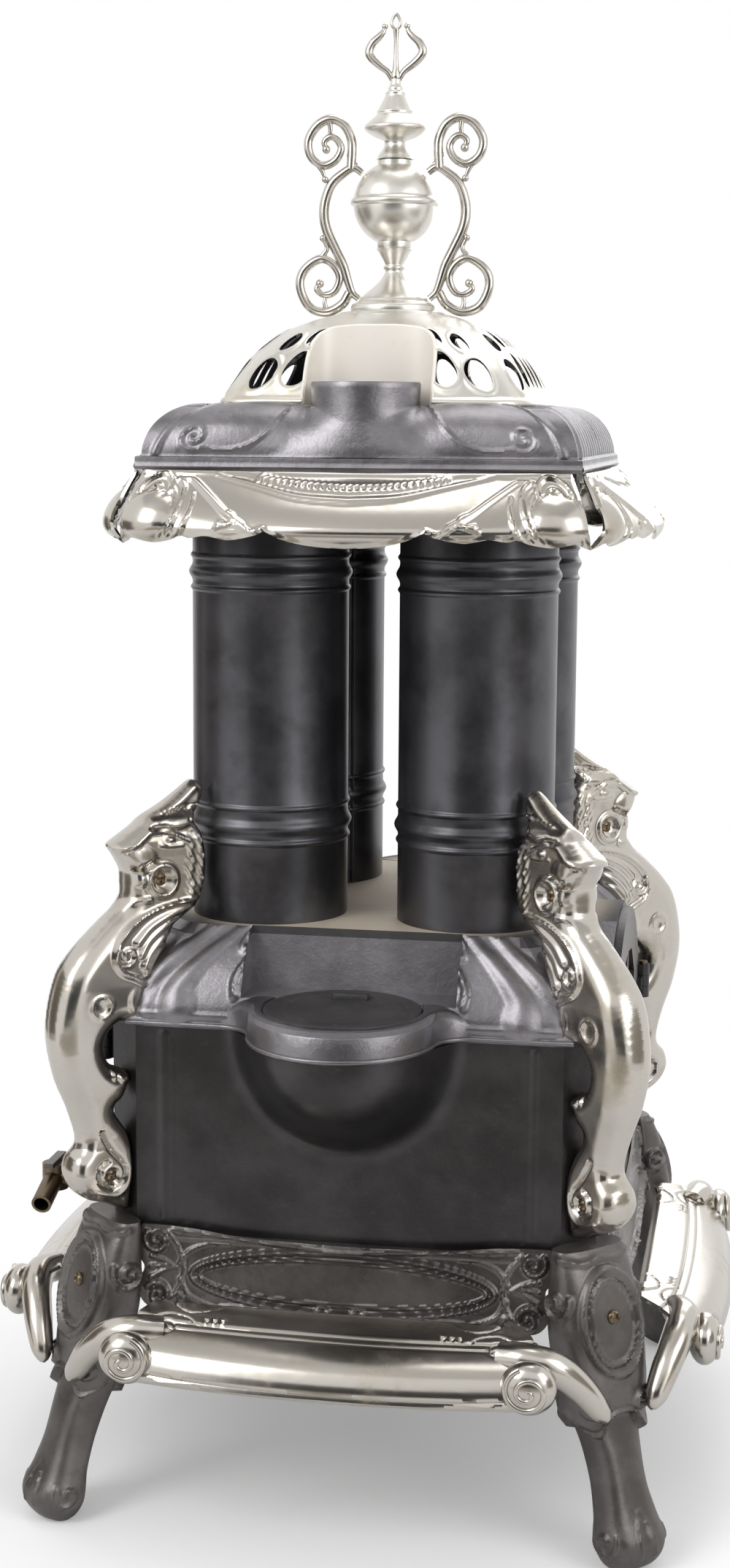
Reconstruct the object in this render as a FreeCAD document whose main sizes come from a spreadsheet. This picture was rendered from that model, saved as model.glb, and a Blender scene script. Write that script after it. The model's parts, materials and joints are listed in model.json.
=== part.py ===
import FreeCAD, Part
import math
import os

import Sketcher
from FreeCAD import Placement, Rotation, Vector

# Driving sizes in millimetres: the origin is on the floor under the middle of the stove.
# The photographed side faces -Y, and the other three sides carry the doors.
SIZES = {
    # Drums, from which the deck and the body get their size
    "drum_radius": 76.2,
    "drum_gap": 52.2,
    "drum_wall": 1.2,
    "drum_length": 429.0,
    "drum_bead": 3.0,
    "drum_bead_width": 12.0,
    "drum_bead_inset": 93.0,
    "drum_port_lip": 8.2,
    # Body box and the corner where the brackets bolt on
    "deck_margin": 7.5,
    "shoulder_run": 50.0,
    "corner_cut": 31.0,
    "panel_wall": 10.0,
    "post_depth": 22.0,
    "base_bottom": 278.0,
    "base_thick": 12.0,
    "body_rise": 191.0,
    "cut_overrun": 40.0,
    "air_hole_radius": 45.0,
    # Legs, measured along the corner diagonal
    "leg_reach": 109.0,
    "leg_half_width": 60.0,
    "leg_lug": 47.0,
    "leg_screw_drop": 59.0,
    "leg_screw_recess": 5.0,
    # Aprons between the legs
    "apron_inset": 17.0,
    "apron_lap": 8.0,
    "apron_height": 80.0,
    "apron_lean": 16.0,
    "apron_wall": 8.0,
    "apron_stand_off": 2.0,
    "apron_flange_inset": 50.0,
    "apron_flange_depth": 26.0,
    "apron_flange_thick": 10.0,
    # Foot rails
    "rail_gap": 39.0,
    "rail_depth": 87.0,
    "rail_back_inset": 39.0,
    "rail_end_inset": 1.0,
    "rail_below": 59.0,
    "rail_drop": 49.0,
    "rail_leaf_length": 84.0,
    "rail_leaf_drop": 71.0,
    "rail_leaf_half": 15.0,
    # Hearth panel and the flue pocket that swells out of it
    "pocket_drop": 97.0,
    "pocket_foot_radius": 30.0,
    "pocket_wall": 6.0,
    # Flue boot and its lid
    "boot_radius": 87.0,
    "boot_stand": 22.0,
    "boot_rise": 30.0,
    "boot_wall": 21.0,
    "lid_inset": 12.0,
    "lid_thick": 7.0,
    "lid_seat": 6.0,
    "lid_lug_length": 34.0,
    "lid_lug_width": 12.0,
    "lid_lug_height": 5.0,
    # Shoulder casting
    "shoulder_lip": 2.0,
    "shoulder_rim": 14.0,
    "shoulder_wall": 8.0,
    "shoulder_rise": 76.0,
    "deck_corner_cut": 27.0,
    "niche_room": 16.0,
    "niche_back": 5.0,
    "hood_inset": 35.0,
    "hood_cover": 1.0,
    # Arched doors and their hinges
    "door_inset": 4.0,
    "door_crown_drop": 6.0,
    "door_clear": 1.8,
    "door_wall": 8.0,
    "door_gap": 0.4,
    "door_lap": 28.0,
    "sill_lap": 10.0,
    "arch_depth": 30.0,
    "light_inset": 34.0,
    "light_bar_half": 7.0,
    "light_margin": 20.0,
    "light_height": 76.0,
    "light_spring_drop": 3.0,
    "mica_border": 9.0,
    "mica_thick": 1.5,
    "mica_rebate": 1.8,
    "hinge_out": 16.0,
    "hinge_stand": 15.0,
    "hinge_low_rise": 60.0,
    "hinge_high_drop": 31.0,
    "knuckle_radius": 7.0,
    "knuckle_length": 12.0,
    "knuckle_gap": 0.3,
    "pin_radius": 3.0,
    "pin_head_radius": 4.6,
    "pin_head": 3.0,
    "pin_clearance": 0.05,
    # Turn latches
    "latch_inset": 12.0,
    "latch_rise": 130.0,
    "latch_spindle": 4.0,
    "latch_knob_radius": 11.0,
    "latch_knob_length": 24.0,
    "latch_tongue_length": 27.0,
    "latch_tongue_half": 6.0,
    "latch_tongue_thick": 4.0,
    "latch_play": 0.5,
    # Griffin brackets on the corners
    "bracket_reach": 81.0,
    "bracket_above": 138.0,
    "bracket_half": 25.0,
    "bracket_clear": 5.5,
    "bracket_screw_radius": 6.0,
    "bracket_screw_head": 3.0,
    "bracket_recess": 6.0,
    "screw_clearance": 0.3,
    # Top casting and the flue collar
    "head_thick": 6.0,
    "head_inset": 6.0,
    "crown_overhang": 23.0,
    "crown_rim": 12.0,
    "crown_rise": 60.0,
    "crown_round": 52.0,
    "crown_wall": 7.0,
    "flue_radius": 51.4,
    "flue_wall": 4.5,
    "flue_inset": 54.0,
    "flue_rise": 22.0,
    "flue_depth": 48.0,
    # Skirts
    "skirt_drop": 67.0,
    "skirt_end_inset": 10.0,
    "skirt_flare": 22.0,
    "skirt_mitre": 13.0,
    "skirt_bow": 44.0,
    "skirt_wall": 5.0,
    "skirt_cusp": 73.0,
    "skirt_cusp_rise": 14.0,
    # Dome
    "dome_gap": 0.2,
    "dome_inset": 5.0,
    "dome_corner": 34.0,
    "dome_height": 91.0,
    "dome_top_margin": 2.0,
    "dome_wall": 4.0,
    "dome_niche_room": 10.6,
    "dome_light_radius": 20.0,
    # Finial, radii and heights from the dome top
    "finial_foot_radius": 44.0,
    "finial_foot_height": 48.0,
    "finial_ball_radius": 42.0,
    "finial_ball_height": 117.0,
    "finial_seam_height": 60.0,
    "finial_disc_radius": 31.0,
    "finial_neck_radius": 8.0,
    "finial_vase_height": 52.0,
    "finial_crown_half": 31.5,
    "finial_crown_height": 73.0,
    "finial_crown_thick": 9.0,
    "finial_rod_radius": 4.0,
    "rod_clearance": 0.2,
    "rod_nut_radius": 9.0,
    "rod_nut_height": 8.0,
    "scroll_bar": 4.6,
    "scroll_out": 54.0,
    "scroll_rise": 21.0,
    # Gas supply
    "gas_pipe_radius": 6.8,
    "gas_pipe_clearance": 0.3,
    "cock_stand": 78.0,
    "cock_radius": 13.0,
    "cock_height": 26.0,
    "cock_outlet": 24.0,
    "cock_wall": 5.0,
    "inlet_radius": 10.0,
    "inlet_bore": 7.5,
    "inlet_length": 50.0,
    "inlet_slope_deg": 18.0,
    "key_plug": 7.0,
    "key_lever_length": 44.0,
    "key_lever_width": 9.0,
    "key_lever_thick": 5.0,
    "burner_ring_radius": 90.0,
    "burner_wall": 0.7,
    "burner_clear": 0.5,
    "burner_boss": 14.0,
    "burner_foot": 8.0,
    "pipe_bend": 30.0,
    "pipe_run": 16.0,
}

# Sizes that follow from the driving ones, as formulas of the sheet
TIES = {
    # Plan, from the drums outwards
    "drum_pitch_half": "drum_radius + drum_gap / 2",
    "drum_port": "drum_radius - drum_port_lip",
    "deck_half": "drum_pitch_half + drum_radius + deck_margin",
    "deck_corner": "(2 * deck_half - deck_corner_cut) / sqrt(2)",
    "body_half": "deck_half + shoulder_run",
    "panel_half": "body_half - corner_cut",
    "apron_half": "panel_half - apron_inset",
    "apron_flange_half": "apron_half - apron_flange_inset",
    "rail_back": "body_half + rail_gap",
    "rail_front": "rail_back + rail_depth",
    "rail_back_half": "panel_half - rail_back_inset",
    "rail_half": "panel_half - rail_end_inset",
    "boot_forward": "body_half + boot_stand",
    "boot_bore": "boot_radius - boot_wall",
    "lid_radius": "boot_radius - lid_inset",
    "niche_half": "boot_radius + niche_room",
    "niche_wall_at": "deck_half - niche_back",
    "hood_half": "panel_half - hood_inset",
    "door_half": "hood_half - door_inset",
    "door_opening_half": "door_half - door_lap",
    "light_edge": "door_opening_half - light_inset",
    "hinge_across": "door_half + hinge_out",
    "hinge_forward": "body_half + hinge_stand",
    "latch_across": "door_opening_half - latch_inset",
    "crown_half": "deck_half + crown_overhang",
    "head_half": "crown_half - head_inset",
    "crown_flat_half": "crown_half - crown_round",
    "flue_forward": "crown_half - flue_inset",
    "skirt_top_half": "crown_half - skirt_end_inset",
    "skirt_corner_out": "crown_half + skirt_flare",
    "skirt_bottom_half": "skirt_corner_out - skirt_mitre",
    "dome_half": "crown_flat_half - dome_inset",
    "dome_top_half": "finial_foot_radius + dome_top_margin",
    "dome_niche": "flue_radius + dome_niche_room",
    "scroll_reach": "finial_ball_radius + scroll_out",
    "scroll_height": "finial_foot_height + finial_ball_height + scroll_rise",
    "burner_tube": "gas_pipe_radius + burner_wall",
    "gas_line_back": "burner_ring_radius + burner_boss + pipe_bend + pipe_run",
    "cock_out": "body_half + cock_stand",
    # Heights, from the floor upwards
    "base_top": "base_bottom + base_thick",
    "leg_screw_height": "base_top - leg_screw_drop",
    "apron_top": "base_bottom + apron_lap",
    "apron_bottom": "apron_top - apron_height",
    "rail_top": "base_bottom - rail_below",
    "gas_line_height": "base_top + burner_tube + burner_clear",
    "door_bottom": "gas_line_height + cock_height / 2 + dome_gap + key_lever_thick + door_clear",
    "door_sill": "door_bottom + sill_lap",
    "body_top": "base_top + body_rise",
    "rim_top": "body_top + shoulder_rim",
    "deck_height": "rim_top + shoulder_rise",
    "pocket_bottom": "body_top - pocket_drop",
    "boot_top": "body_top + boot_rise",
    "hood_crown": "deck_height - hood_cover",
    "door_crown": "hood_crown - door_crown_drop",
    "arch_opening_crown": "hood_crown - arch_depth",
    "light_low": "door_sill + light_margin",
    "light_middle": "light_low + light_height",
    "light_shoulder": "body_top - light_spring_drop",
    "light_top": "arch_opening_crown - light_margin",
    "hinge_low": "base_top + hinge_low_rise",
    "hinge_high": "body_top - hinge_high_drop",
    "latch_height": "base_top + latch_rise",
    "drum_top": "deck_height + drum_length",
    "drum_bead_low": "deck_height + drum_bead_inset",
    "drum_bead_high": "drum_top - drum_bead_inset",
    "head_top": "drum_top + head_thick",
    "skirt_bottom": "head_top - skirt_drop",
    "crown_top": "head_top + crown_rise",
    "flue_top": "crown_top + flue_rise",
}

doc = FreeCAD.newDocument("gas_parlor_stove")
sheet = doc.addObject("Spreadsheet::Sheet", "sizes")
cells = [(alias, str(number)) for alias, number in SIZES.items()]
cells += [(alias, "=" + formula) for alias, formula in TIES.items()]
for row, (alias, content) in enumerate(cells, start=1):
    sheet.set("A%d" % row, alias)
    sheet.set("B%d" % row, content)
    sheet.setAlias("B%d" % row, alias)
doc.recompute()

PARTS = []
QUARTER = 90.0
SIDES = {"near": 0, "right": 1, "far": 2, "left": 3}
CORNERS = {"near_right": 0, "far_right": 1, "far_left": 2, "near_left": 3}
DOOR_SIDES = ("right", "far", "left")
UP = Vector(0, 0, 1)
DIAGONAL_TURN = -45.0


class Size:
    """Reads one driving size from the sheet by its alias."""

    def __getattr__(self, alias):
        return float(sheet.get(alias))


s = Size()


def named(label, shape, turn=0):
    """Adds a finished shape to the document, turned by quarter turns about the stove's axis."""
    feature = doc.addObject("Part::Feature", label)
    feature.Label = label
    feature.Shape = shape
    feature.Placement = Placement(Vector(), Rotation(UP, turn * QUARTER)).multiply(shape.Placement)
    PARTS.append(feature)
    return feature


def kept(label, feature, turn=0, base=Vector()):
    """Names a parametric feature as a piece of the stove and sets it in its place."""
    feature.Label = label
    rotation = Rotation(UP, turn * QUARTER)
    feature.Placement = Placement(rotation.multVec(base), rotation)
    PARTS.append(feature)
    return feature


def closed_face(edges):
    return Part.Face(Part.Wire(Part.__sortEdges__(edges)))


def polygon_face(points):
    return Part.Face(Part.makePolygon(list(points) + [points[0]]))


def spline_edge(points):
    curve = Part.BSplineCurve()
    curve.interpolate(list(points))
    return curve.toShape()


def box(low, high):
    size = high - low
    return Part.makeBox(size.x, size.y, size.z, low)


def cylinder(radius, start, end):
    axis = end - start
    return Part.makeCylinder(radius, axis.Length, start, axis)


def bound_sketch(body, role, corners, name):
    """Draws a closed outline on an origin plane, each corner held by two driven distances."""
    plane = [item for item in body.Origin.OriginFeatures if item.Role == role][0]
    sketch = body.newObject("Sketcher::SketchObject", name)
    sketch.AttachmentSupport = (plane, "")
    sketch.MapMode = "FlatFace"
    places = [Vector(*(float(sheet.evalExpression(term)) for term in pair), 0) for pair in corners]
    count = len(places)
    for index, place in enumerate(places):
        sketch.addGeometry(Part.LineSegment(place, places[(index + 1) % count]), False)
    for index in range(count):
        following = (index + 1) % count
        sketch.addConstraint(Sketcher.Constraint("Coincident", index, 2, following, 1))
    for index, pair in enumerate(corners):
        measures = (places[index].x, places[index].y)
        for kind, term, measure in zip(("DistanceX", "DistanceY"), pair, measures):
            number = sketch.addConstraint(Sketcher.Constraint(kind, -1, 1, index, 1, measure))
            sketch.setExpression("Constraints[%d]" % number, bound(term))
    return sketch


def bound(term):
    """Turns an expression in bare aliases into one that names the sheet."""
    words = term.replace("(", " ( ").replace(")", " ) ").split()
    return " ".join("sizes." + word if word in SIZES or word in TIES else word for word in words)


def padded_body(name, role, corners, length):
    body = doc.addObject("PartDesign::Body", name)
    sketch = bound_sketch(body, role, corners, name + "_outline")
    pad = body.newObject("PartDesign::Pad", name + "_pad")
    pad.Profile = sketch
    pad.setExpression("Length", bound(length))
    doc.recompute()
    return body


def turned_body(name, corners):
    """Revolves an outline of radii and heights about the vertical axis."""
    body = doc.addObject("PartDesign::Body", name)
    sketch = bound_sketch(body, "XZ_Plane", corners, name + "_profile")
    turn = body.newObject("PartDesign::Revolution", name + "_turn")
    turn.Profile = sketch
    turn.ReferenceAxis = (sketch, ["V_Axis"])
    doc.recompute()
    return body


def octagon(half, corner_reach, height):
    """A square with cut corners, whose corner faces lie at a given reach on the diagonal."""
    cut = corner_reach * math.sqrt(2) - half
    points = []
    for turn in range(4):
        rotation = Rotation(UP, turn * QUARTER)
        points.append(rotation.multVec(Vector(half, -cut, height)))
        points.append(rotation.multVec(Vector(half, cut, height)))
    return Part.makePolygon(points + [points[0]])


def diagonal_solid(side_edges, front_points, depth):
    """Meets a side outline in the diagonal plane with a front outline across it."""
    side = closed_face(side_edges)
    across = Vector(0, 2.0 * depth, 0)
    side.translate(Vector(0, -depth, 0))
    prism = side.extrude(across)
    front = polygon_face(front_points)
    return prism.common(front.extrude(Vector(front_depth(), 0, 0)))


def front_depth():
    return corner + s.leg_reach + s.cut_overrun


def mirrored_front(table, level, half):
    """Front outline from a table of height shares and shares of one half width."""
    right = [Vector(0, wide * half, level(up)) for up, wide in table]
    return right + [Vector(0, -place.y, place.z) for place in reversed(right)]


def on_corner(shape):
    """Turns a piece built on the +X diagonal axis onto the near right corner."""
    return shape.rotated(Vector(), UP, DIAGONAL_TURN)


corner = (s.body_half + s.panel_half) / math.sqrt(2)


# Base plate under the firebox, with an air hole below the burner
CUT_SQUARE = [
    ("body_half", "-( panel_half )"), ("body_half", "panel_half"),
    ("panel_half", "body_half"), ("-( panel_half )", "body_half"),
    ("-( body_half )", "panel_half"), ("-( body_half )", "-( panel_half )"),
    ("-( panel_half )", "-( body_half )"), ("panel_half", "-( body_half )"),
]
base_body = padded_body("base_plate_body", "XY_Plane", CUT_SQUARE, "base_thick")
air_hole = doc.addObject("Part::Cylinder", "air_hole")
air_hole.setExpression("Radius", bound("air_hole_radius"))
air_hole.setExpression("Height", bound("base_thick"))
base_plate = doc.addObject("Part::Cut", "base_plate_cut")
base_plate.Base = base_body
base_plate.Tool = air_hole
kept("base_plate", base_plate, base=Vector(0, 0, s.base_bottom))


# Legs: a cabriole side outline, as shares of the reach past the corner and of the leg's height
LEG_OUTER_SHARES = [
    (0.55, 1.0), (0.60, 0.91), (0.57, 0.80), (0.54, 0.66), (0.61, 0.50),
    (0.74, 0.36), (0.87, 0.22), (1.0, 0.10), (0.97, 0.03), (0.86, 0.0),
]
LEG_INNER_SHARES = [
    (0.66, 0.0), (0.58, 0.04), (0.53, 0.16), (0.42, 0.32), (0.28, 0.48), (0.16, 0.66), (0.0, 0.82),
]
LEG_FRONT_SHARES = [
    (0.0, 0.42), (0.03, 0.52), (0.10, 0.55), (0.20, 0.44), (0.34, 0.46),
    (0.40, 0.70), (0.47, 0.72), (0.60, 0.84), (0.84, 1.0), (0.93, 0.86), (1.0, 0.80),
]


def leg_level(share):
    return share * s.base_top


def leg_point(share):
    return Vector(corner + share[0] * s.leg_reach, 0, leg_level(share[1]))


def leg_shape():
    outer = [leg_point(share) for share in LEG_OUTER_SHARES]
    inner = [leg_point(share) for share in LEG_INNER_SHARES]
    lug_foot = Vector(corner - s.leg_lug, 0, s.base_bottom - s.base_thick)
    lug_top = Vector(corner - s.leg_lug, 0, s.base_bottom)
    step = Vector(corner, 0, s.base_bottom)
    back = Vector(corner, 0, s.base_top)
    edges = [spline_edge(outer), Part.makeLine(outer[-1], inner[0]), spline_edge(inner)]
    tail = [inner[-1], lug_foot, lug_top, step, back, outer[0]]
    edges += [Part.makeLine(a, b) for a, b in zip(tail, tail[1:])]
    front = mirrored_front(LEG_FRONT_SHARES, leg_level, s.leg_half_width)
    leg = diagonal_solid(edges, front, s.leg_half_width)
    leg = leg.cut(cylinder(screw_hole, leg_screw_seat(), leg_screw_seat() + Vector(s.cut_overrun, 0, 0)))
    leg = on_corner(leg)
    reach = s.body_half + s.apron_stand_off + s.apron_wall + s.apron_lean
    low = Vector(0, -reach, s.apron_bottom - s.cut_overrun)
    high = Vector(s.apron_half + s.apron_stand_off, -s.panel_half, s.base_bottom)
    room = box(low, high)
    # The same room is kept on the other side of the diagonal
    other = room.mirror(Vector(), Vector(1, 1, 0))
    lug = box(Vector(0, -s.body_half, s.base_bottom - s.base_thick), Vector(s.body_half, 0, s.base_bottom))
    return leg.cut(room.cut(lug)).cut(other.cut(lug))


screw_hole = s.bracket_screw_radius + s.screw_clearance


def leg_screw_seat():
    middle = LEG_OUTER_SHARES[2][0]
    return Vector(corner + middle * s.leg_reach - s.leg_screw_recess, 0, s.leg_screw_height)


leg = leg_shape()
for place, turn in CORNERS.items():
    named("leg_" + place, leg, turn)


# Aprons: a leaning plate with scrolled ends and a flange that bolts under the base plate
APRON_SHARES = [
    (0.0, 0.90), (0.55, 0.93), (0.80, 1.0), (1.0, 1.0), (1.0, 0.62), (0.93, 0.48),
    (0.99, 0.30), (0.97, 0.06), (0.86, 0.02), (0.20, 0.05), (0.06, 0.0), (0.0, 0.0),
]


def apron_shape():
    tall = s.apron_top - s.apron_bottom
    outer = s.body_half + s.apron_stand_off
    half = [Vector(a * s.apron_half, 0, s.apron_bottom + b * tall) for a, b in APRON_SHARES]
    other = [Vector(-p.x, 0, p.z) for p in reversed(half[1:-1])]
    face = polygon_face(half + other)
    plate = face.extrude(Vector(0, -front_depth(), 0))
    slab = polygon_face([
        Vector(-s.apron_half, -outer, s.apron_top),
        Vector(-s.apron_half, -outer - s.apron_wall, s.apron_top),
        Vector(-s.apron_half, -outer - s.apron_wall - s.apron_lean, s.apron_bottom),
        Vector(-s.apron_half, -outer - s.apron_lean, s.apron_bottom),
    ]).extrude(Vector(2.0 * s.apron_half, 0, 0))
    flange_low = s.base_bottom - s.apron_flange_thick
    flange = box(
        Vector(-s.apron_flange_half, -outer - s.apron_wall / 2.0, flange_low),
        Vector(s.apron_flange_half, -outer + s.apron_flange_depth, s.base_bottom),
    )
    return plate.common(slab).fuse(flange).removeSplitter()


apron = apron_shape()
for place, turn in SIDES.items():
    named("apron_" + place, apron, turn)


# Foot rails: a bowed sloping tread with a leaf at each end that lies on the leg
RAIL_SLOPE_SHARES = [
    (0.0, 0.0), (0.62, 0.22), (0.98, 0.66), (1.0, 1.0), (0.87, 0.96), (0.60, 0.47), (0.0, 0.20),
]
LEAF_SHARES = [
    (-0.06, 0.10), (0.38, 0.20), (0.75, 0.55), (1.0, 1.0),
    (0.90, 1.03), (0.50, 0.72), (0.12, 0.47), (-0.06, 0.44),
]
# How far out the back corner, the front corner and the leaf's root of an end lie
RAIL_END_SHARES = (0.50, 0.80, 0.55)
LEAF_HEADING_SHARE = 0.5


def rail_shape():
    depth = s.rail_depth
    back_out, front_out, root_out = (-s.rail_back - share * depth for share in RAIL_END_SHARES)
    end_back = Vector(s.rail_half, back_out, 0)
    end_front = Vector(s.rail_half - s.rail_leaf_half, front_out, 0)
    bow = Part.Arc(
        Vector(end_front.x, end_front.y, 0),
        Vector(0, -s.rail_front, 0),
        Vector(-end_front.x, end_front.y, 0),
    ).toShape()
    rim = [
        Vector(-end_front.x, end_front.y, 0), Vector(-end_back.x, end_back.y, 0),
        Vector(-s.rail_back_half, -s.rail_back, 0), Vector(s.rail_back_half, -s.rail_back, 0),
        Vector(end_back.x, end_back.y, 0), Vector(end_front.x, end_front.y, 0),
    ]
    edges = [bow] + [Part.makeLine(a, b) for a, b in zip(rim, rim[1:])]
    plan = closed_face(edges).extrude(Vector(0, 0, s.rail_top + s.cut_overrun))
    slope = polygon_face([
        Vector(-s.rail_half, -s.rail_back - a * depth, s.rail_top - b * s.rail_drop)
        for a, b in RAIL_SLOPE_SHARES
    ]).extrude(Vector(2.0 * s.rail_half, 0, 0))
    rail = plan.common(slope)
    root = Vector(s.rail_half - s.rail_leaf_half, root_out, s.rail_top)
    blade = polygon_face([
        Vector(a * s.rail_leaf_length, -s.rail_leaf_half, -b * s.rail_leaf_drop) for a, b in LEAF_SHARES
    ]).extrude(Vector(0, 2.0 * s.rail_leaf_half, 0))
    heading = math.degrees(math.atan(LEAF_HEADING_SHARE))
    blade = blade.rotated(Vector(), UP, heading).translated(root)
    leaves = [blade, blade.mirror(Vector(), Vector(1, 0, 0))]
    for leaf in leaves:
        rail = rail.fuse(leaf)
    near_left_leg = leg.rotated(Vector(), UP, -QUARTER)
    return rail.removeSplitter().cut(leg).cut(near_left_leg)


rail = rail_shape()
for place, turn in SIDES.items():
    named("foot_rail_" + place, rail, turn)


# Hearth panel with the hollow flue pocket below the boot
def pocket_loft(inset):
    top = Vector(0, -s.boot_forward, s.body_top)
    foot = Vector(0, -s.body_half + s.pocket_foot_radius - s.pocket_wall, s.pocket_bottom)
    rings = []
    for centre, radius in ((top, s.boot_radius), (foot, s.pocket_foot_radius)):
        rings.append(Part.Wire(Part.makeCircle(radius - inset, centre, UP)))
    return Part.makeLoft(rings, True, True)


def panel_shape():
    inner = -s.body_half + s.panel_wall
    plate = box(Vector(-s.panel_half, -s.body_half, s.base_top), Vector(s.panel_half, inner, s.body_top))
    behind = box(
        Vector(-s.panel_half, inner, s.base_top - s.cut_overrun),
        Vector(s.panel_half, s.panel_half, s.body_top + s.cut_overrun),
    )
    return plate.fuse(pocket_loft(0.0)).cut(pocket_loft(s.pocket_wall)).cut(behind).removeSplitter()


named("near_panel", panel_shape())


# Corner posts, one solid in each corner between the panels
def post_shape():
    back = s.panel_half
    inner = s.body_half - s.post_depth
    outline = [
        Vector(s.body_half, -back, s.base_top), Vector(back, -s.body_half, s.base_top),
        Vector(back, -inner, s.base_top), Vector(inner, -back, s.base_top),
    ]
    return polygon_face(outline).extrude(Vector(0, 0, s.body_top - s.base_top))


post = post_shape()
named("corner_posts", Part.Compound([post.rotated(Vector(), UP, turn * QUARTER) for turn in range(4)]))


# Door frames: a sill and two stiles, with the fixed halves of the hinges
HINGES = ("hinge_low", "hinge_high")
FRAME = [
    ("-( panel_half )", "base_top"), ("panel_half", "base_top"),
    ("panel_half", "body_top"), ("door_opening_half", "body_top"),
    ("door_opening_half", "door_sill"), ("-( door_opening_half )", "door_sill"),
    ("-( door_opening_half )", "body_top"), ("-( panel_half )", "body_top"),
]


def hinge_line(height):
    return Vector(s.hinge_across, -s.hinge_forward, height)


def knuckle(low, high, root_x, root_y):
    """A barrel between two heights, with the lug that carries it back to its leaf."""
    barrel = cylinder(s.knuckle_radius, hinge_line(low), hinge_line(high))
    lug = box(Vector(root_x, -s.hinge_forward, low), Vector(s.hinge_across, root_y, high))
    return barrel.fuse(lug)


def pin_bore(height, play):
    reach = Vector(0, 0, 2.0 * s.knuckle_length)
    return cylinder(s.pin_radius + play, hinge_line(height) - reach, hinge_line(height) + reach)


def frame_shape(side):
    body = padded_body("frame_body_" + side, "XZ_Plane", FRAME, "panel_wall")
    frame = body.Shape.translated(Vector(0, -s.body_half + s.panel_wall, 0))
    half = s.knuckle_length / 2.0 + s.knuckle_gap
    for alias in HINGES:
        height = getattr(s, alias)
        root_x = s.hinge_across - s.knuckle_radius
        for low, high in (
            (height - half - s.knuckle_length, height - half),
            (height + half, height + half + s.knuckle_length),
        ):
            frame = frame.fuse(knuckle(low, high, root_x, -s.body_half))
        frame = frame.cut(pin_bore(height, s.pin_clearance))
    if side == "left":
        # The gas line passes through the sill on this side
        radius = s.gas_pipe_radius + s.gas_pipe_clearance
        start = Vector(s.gas_line_back, -s.body_half - s.cut_overrun, s.gas_line_height)
        frame = frame.cut(cylinder(radius, start, start + Vector(0, 2.0 * s.cut_overrun, 0)))
    return frame.removeSplitter()


for side in DOOR_SIDES:
    named("door_frame_" + side, frame_shape(side), SIDES[side])


# Hinge pins for the three doors, with heads above the top knuckles
def pin_set():
    pins = []
    half = s.knuckle_length / 2.0 + s.knuckle_gap + s.knuckle_length
    for alias in HINGES:
        height = getattr(s, alias)
        top = hinge_line(height + half)
        pin = cylinder(s.pin_radius, hinge_line(height - half), top)
        pins.append(pin.fuse(cylinder(s.pin_head_radius, top, top + Vector(0, 0, s.pin_head))))
    return pins


all_pins = []
for side in DOOR_SIDES:
    all_pins += [pin.rotated(Vector(), UP, SIDES[side] * QUARTER) for pin in pin_set()]
named("hinge_pins", Part.Compound(all_pins))


# Arched doors with four lights, a rebate for the mica and the moving hinge knuckles
def arch_face(half, low, spring, crown):
    arc = Part.Arc(Vector(half, 0, spring), Vector(0, 0, crown), Vector(-half, 0, spring)).toShape()
    rim = [Vector(-half, 0, spring), Vector(-half, 0, low), Vector(half, 0, low), Vector(half, 0, spring)]
    return closed_face([arc] + [Part.makeLine(a, b) for a, b in zip(rim, rim[1:])])


def light_outlines():
    bar = s.light_bar_half
    edge = s.light_edge
    return [
        [(bar, s.light_low), (edge, s.light_low), (edge, s.light_middle - bar), (bar, s.light_middle - bar)],
        [
            (bar, s.light_middle + bar), (edge, s.light_middle + bar), (edge, s.light_shoulder),
            ((bar + edge) / 2.0, s.light_top - bar), (bar, s.light_top),
        ],
    ]


def mica_outline(border):
    edge = s.light_edge + border
    low = s.light_low - border
    top = s.light_top + border
    half = [
        (edge, low), (edge, s.light_shoulder),
        ((s.light_bar_half + edge) / 2.0, top - s.light_bar_half), (s.light_bar_half, top),
    ]
    right = [Vector(x, 0, z) for x, z in half]
    return right + [Vector(-p.x, 0, p.z) for p in reversed(right)]


door_back = -s.body_half - s.shoulder_lip - s.door_gap


def door_shape():
    thick = Vector(0, -s.door_wall, 0)
    door = arch_face(s.door_half, s.door_bottom, s.body_top, s.door_crown).extrude(thick)
    for outline in light_outlines():
        for sign in (1, -1):
            light = polygon_face([Vector(sign * x, s.cut_overrun, z) for x, z in outline])
            door = door.cut(light.extrude(Vector(0, -2.0 * s.cut_overrun, 0)))
    rebate = polygon_face(mica_outline(s.mica_border + s.screw_clearance))
    door = door.cut(rebate.extrude(Vector(0, -s.mica_rebate, 0)))
    hole = Vector(-s.latch_across, s.cut_overrun, s.latch_height)
    far_side = hole - Vector(0, 2.0 * s.cut_overrun, 0)
    door = door.cut(cylinder(s.latch_spindle + s.pin_clearance, hole, far_side))
    door.translate(Vector(0, door_back, 0))
    half = s.knuckle_length / 2.0
    for alias in HINGES:
        height = getattr(s, alias)
        root_x = s.door_half - s.knuckle_radius
        door = door.fuse(knuckle(height - half, height + half, root_x, door_back))
        door = door.cut(pin_bore(height, s.pin_clearance))
    return door.removeSplitter()


def mica_shape():
    pane = polygon_face(mica_outline(s.mica_border))
    pane = pane.extrude(Vector(0, -s.mica_thick, 0))
    return pane.translated(Vector(0, door_back - s.mica_rebate + s.mica_thick, 0))


LATCH_PROFILE_SHARES = [(0.55, 0.0), (0.62, 0.20), (0.45, 0.38), (0.86, 0.55), (1.0, 0.78), (0.70, 1.0)]


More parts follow.
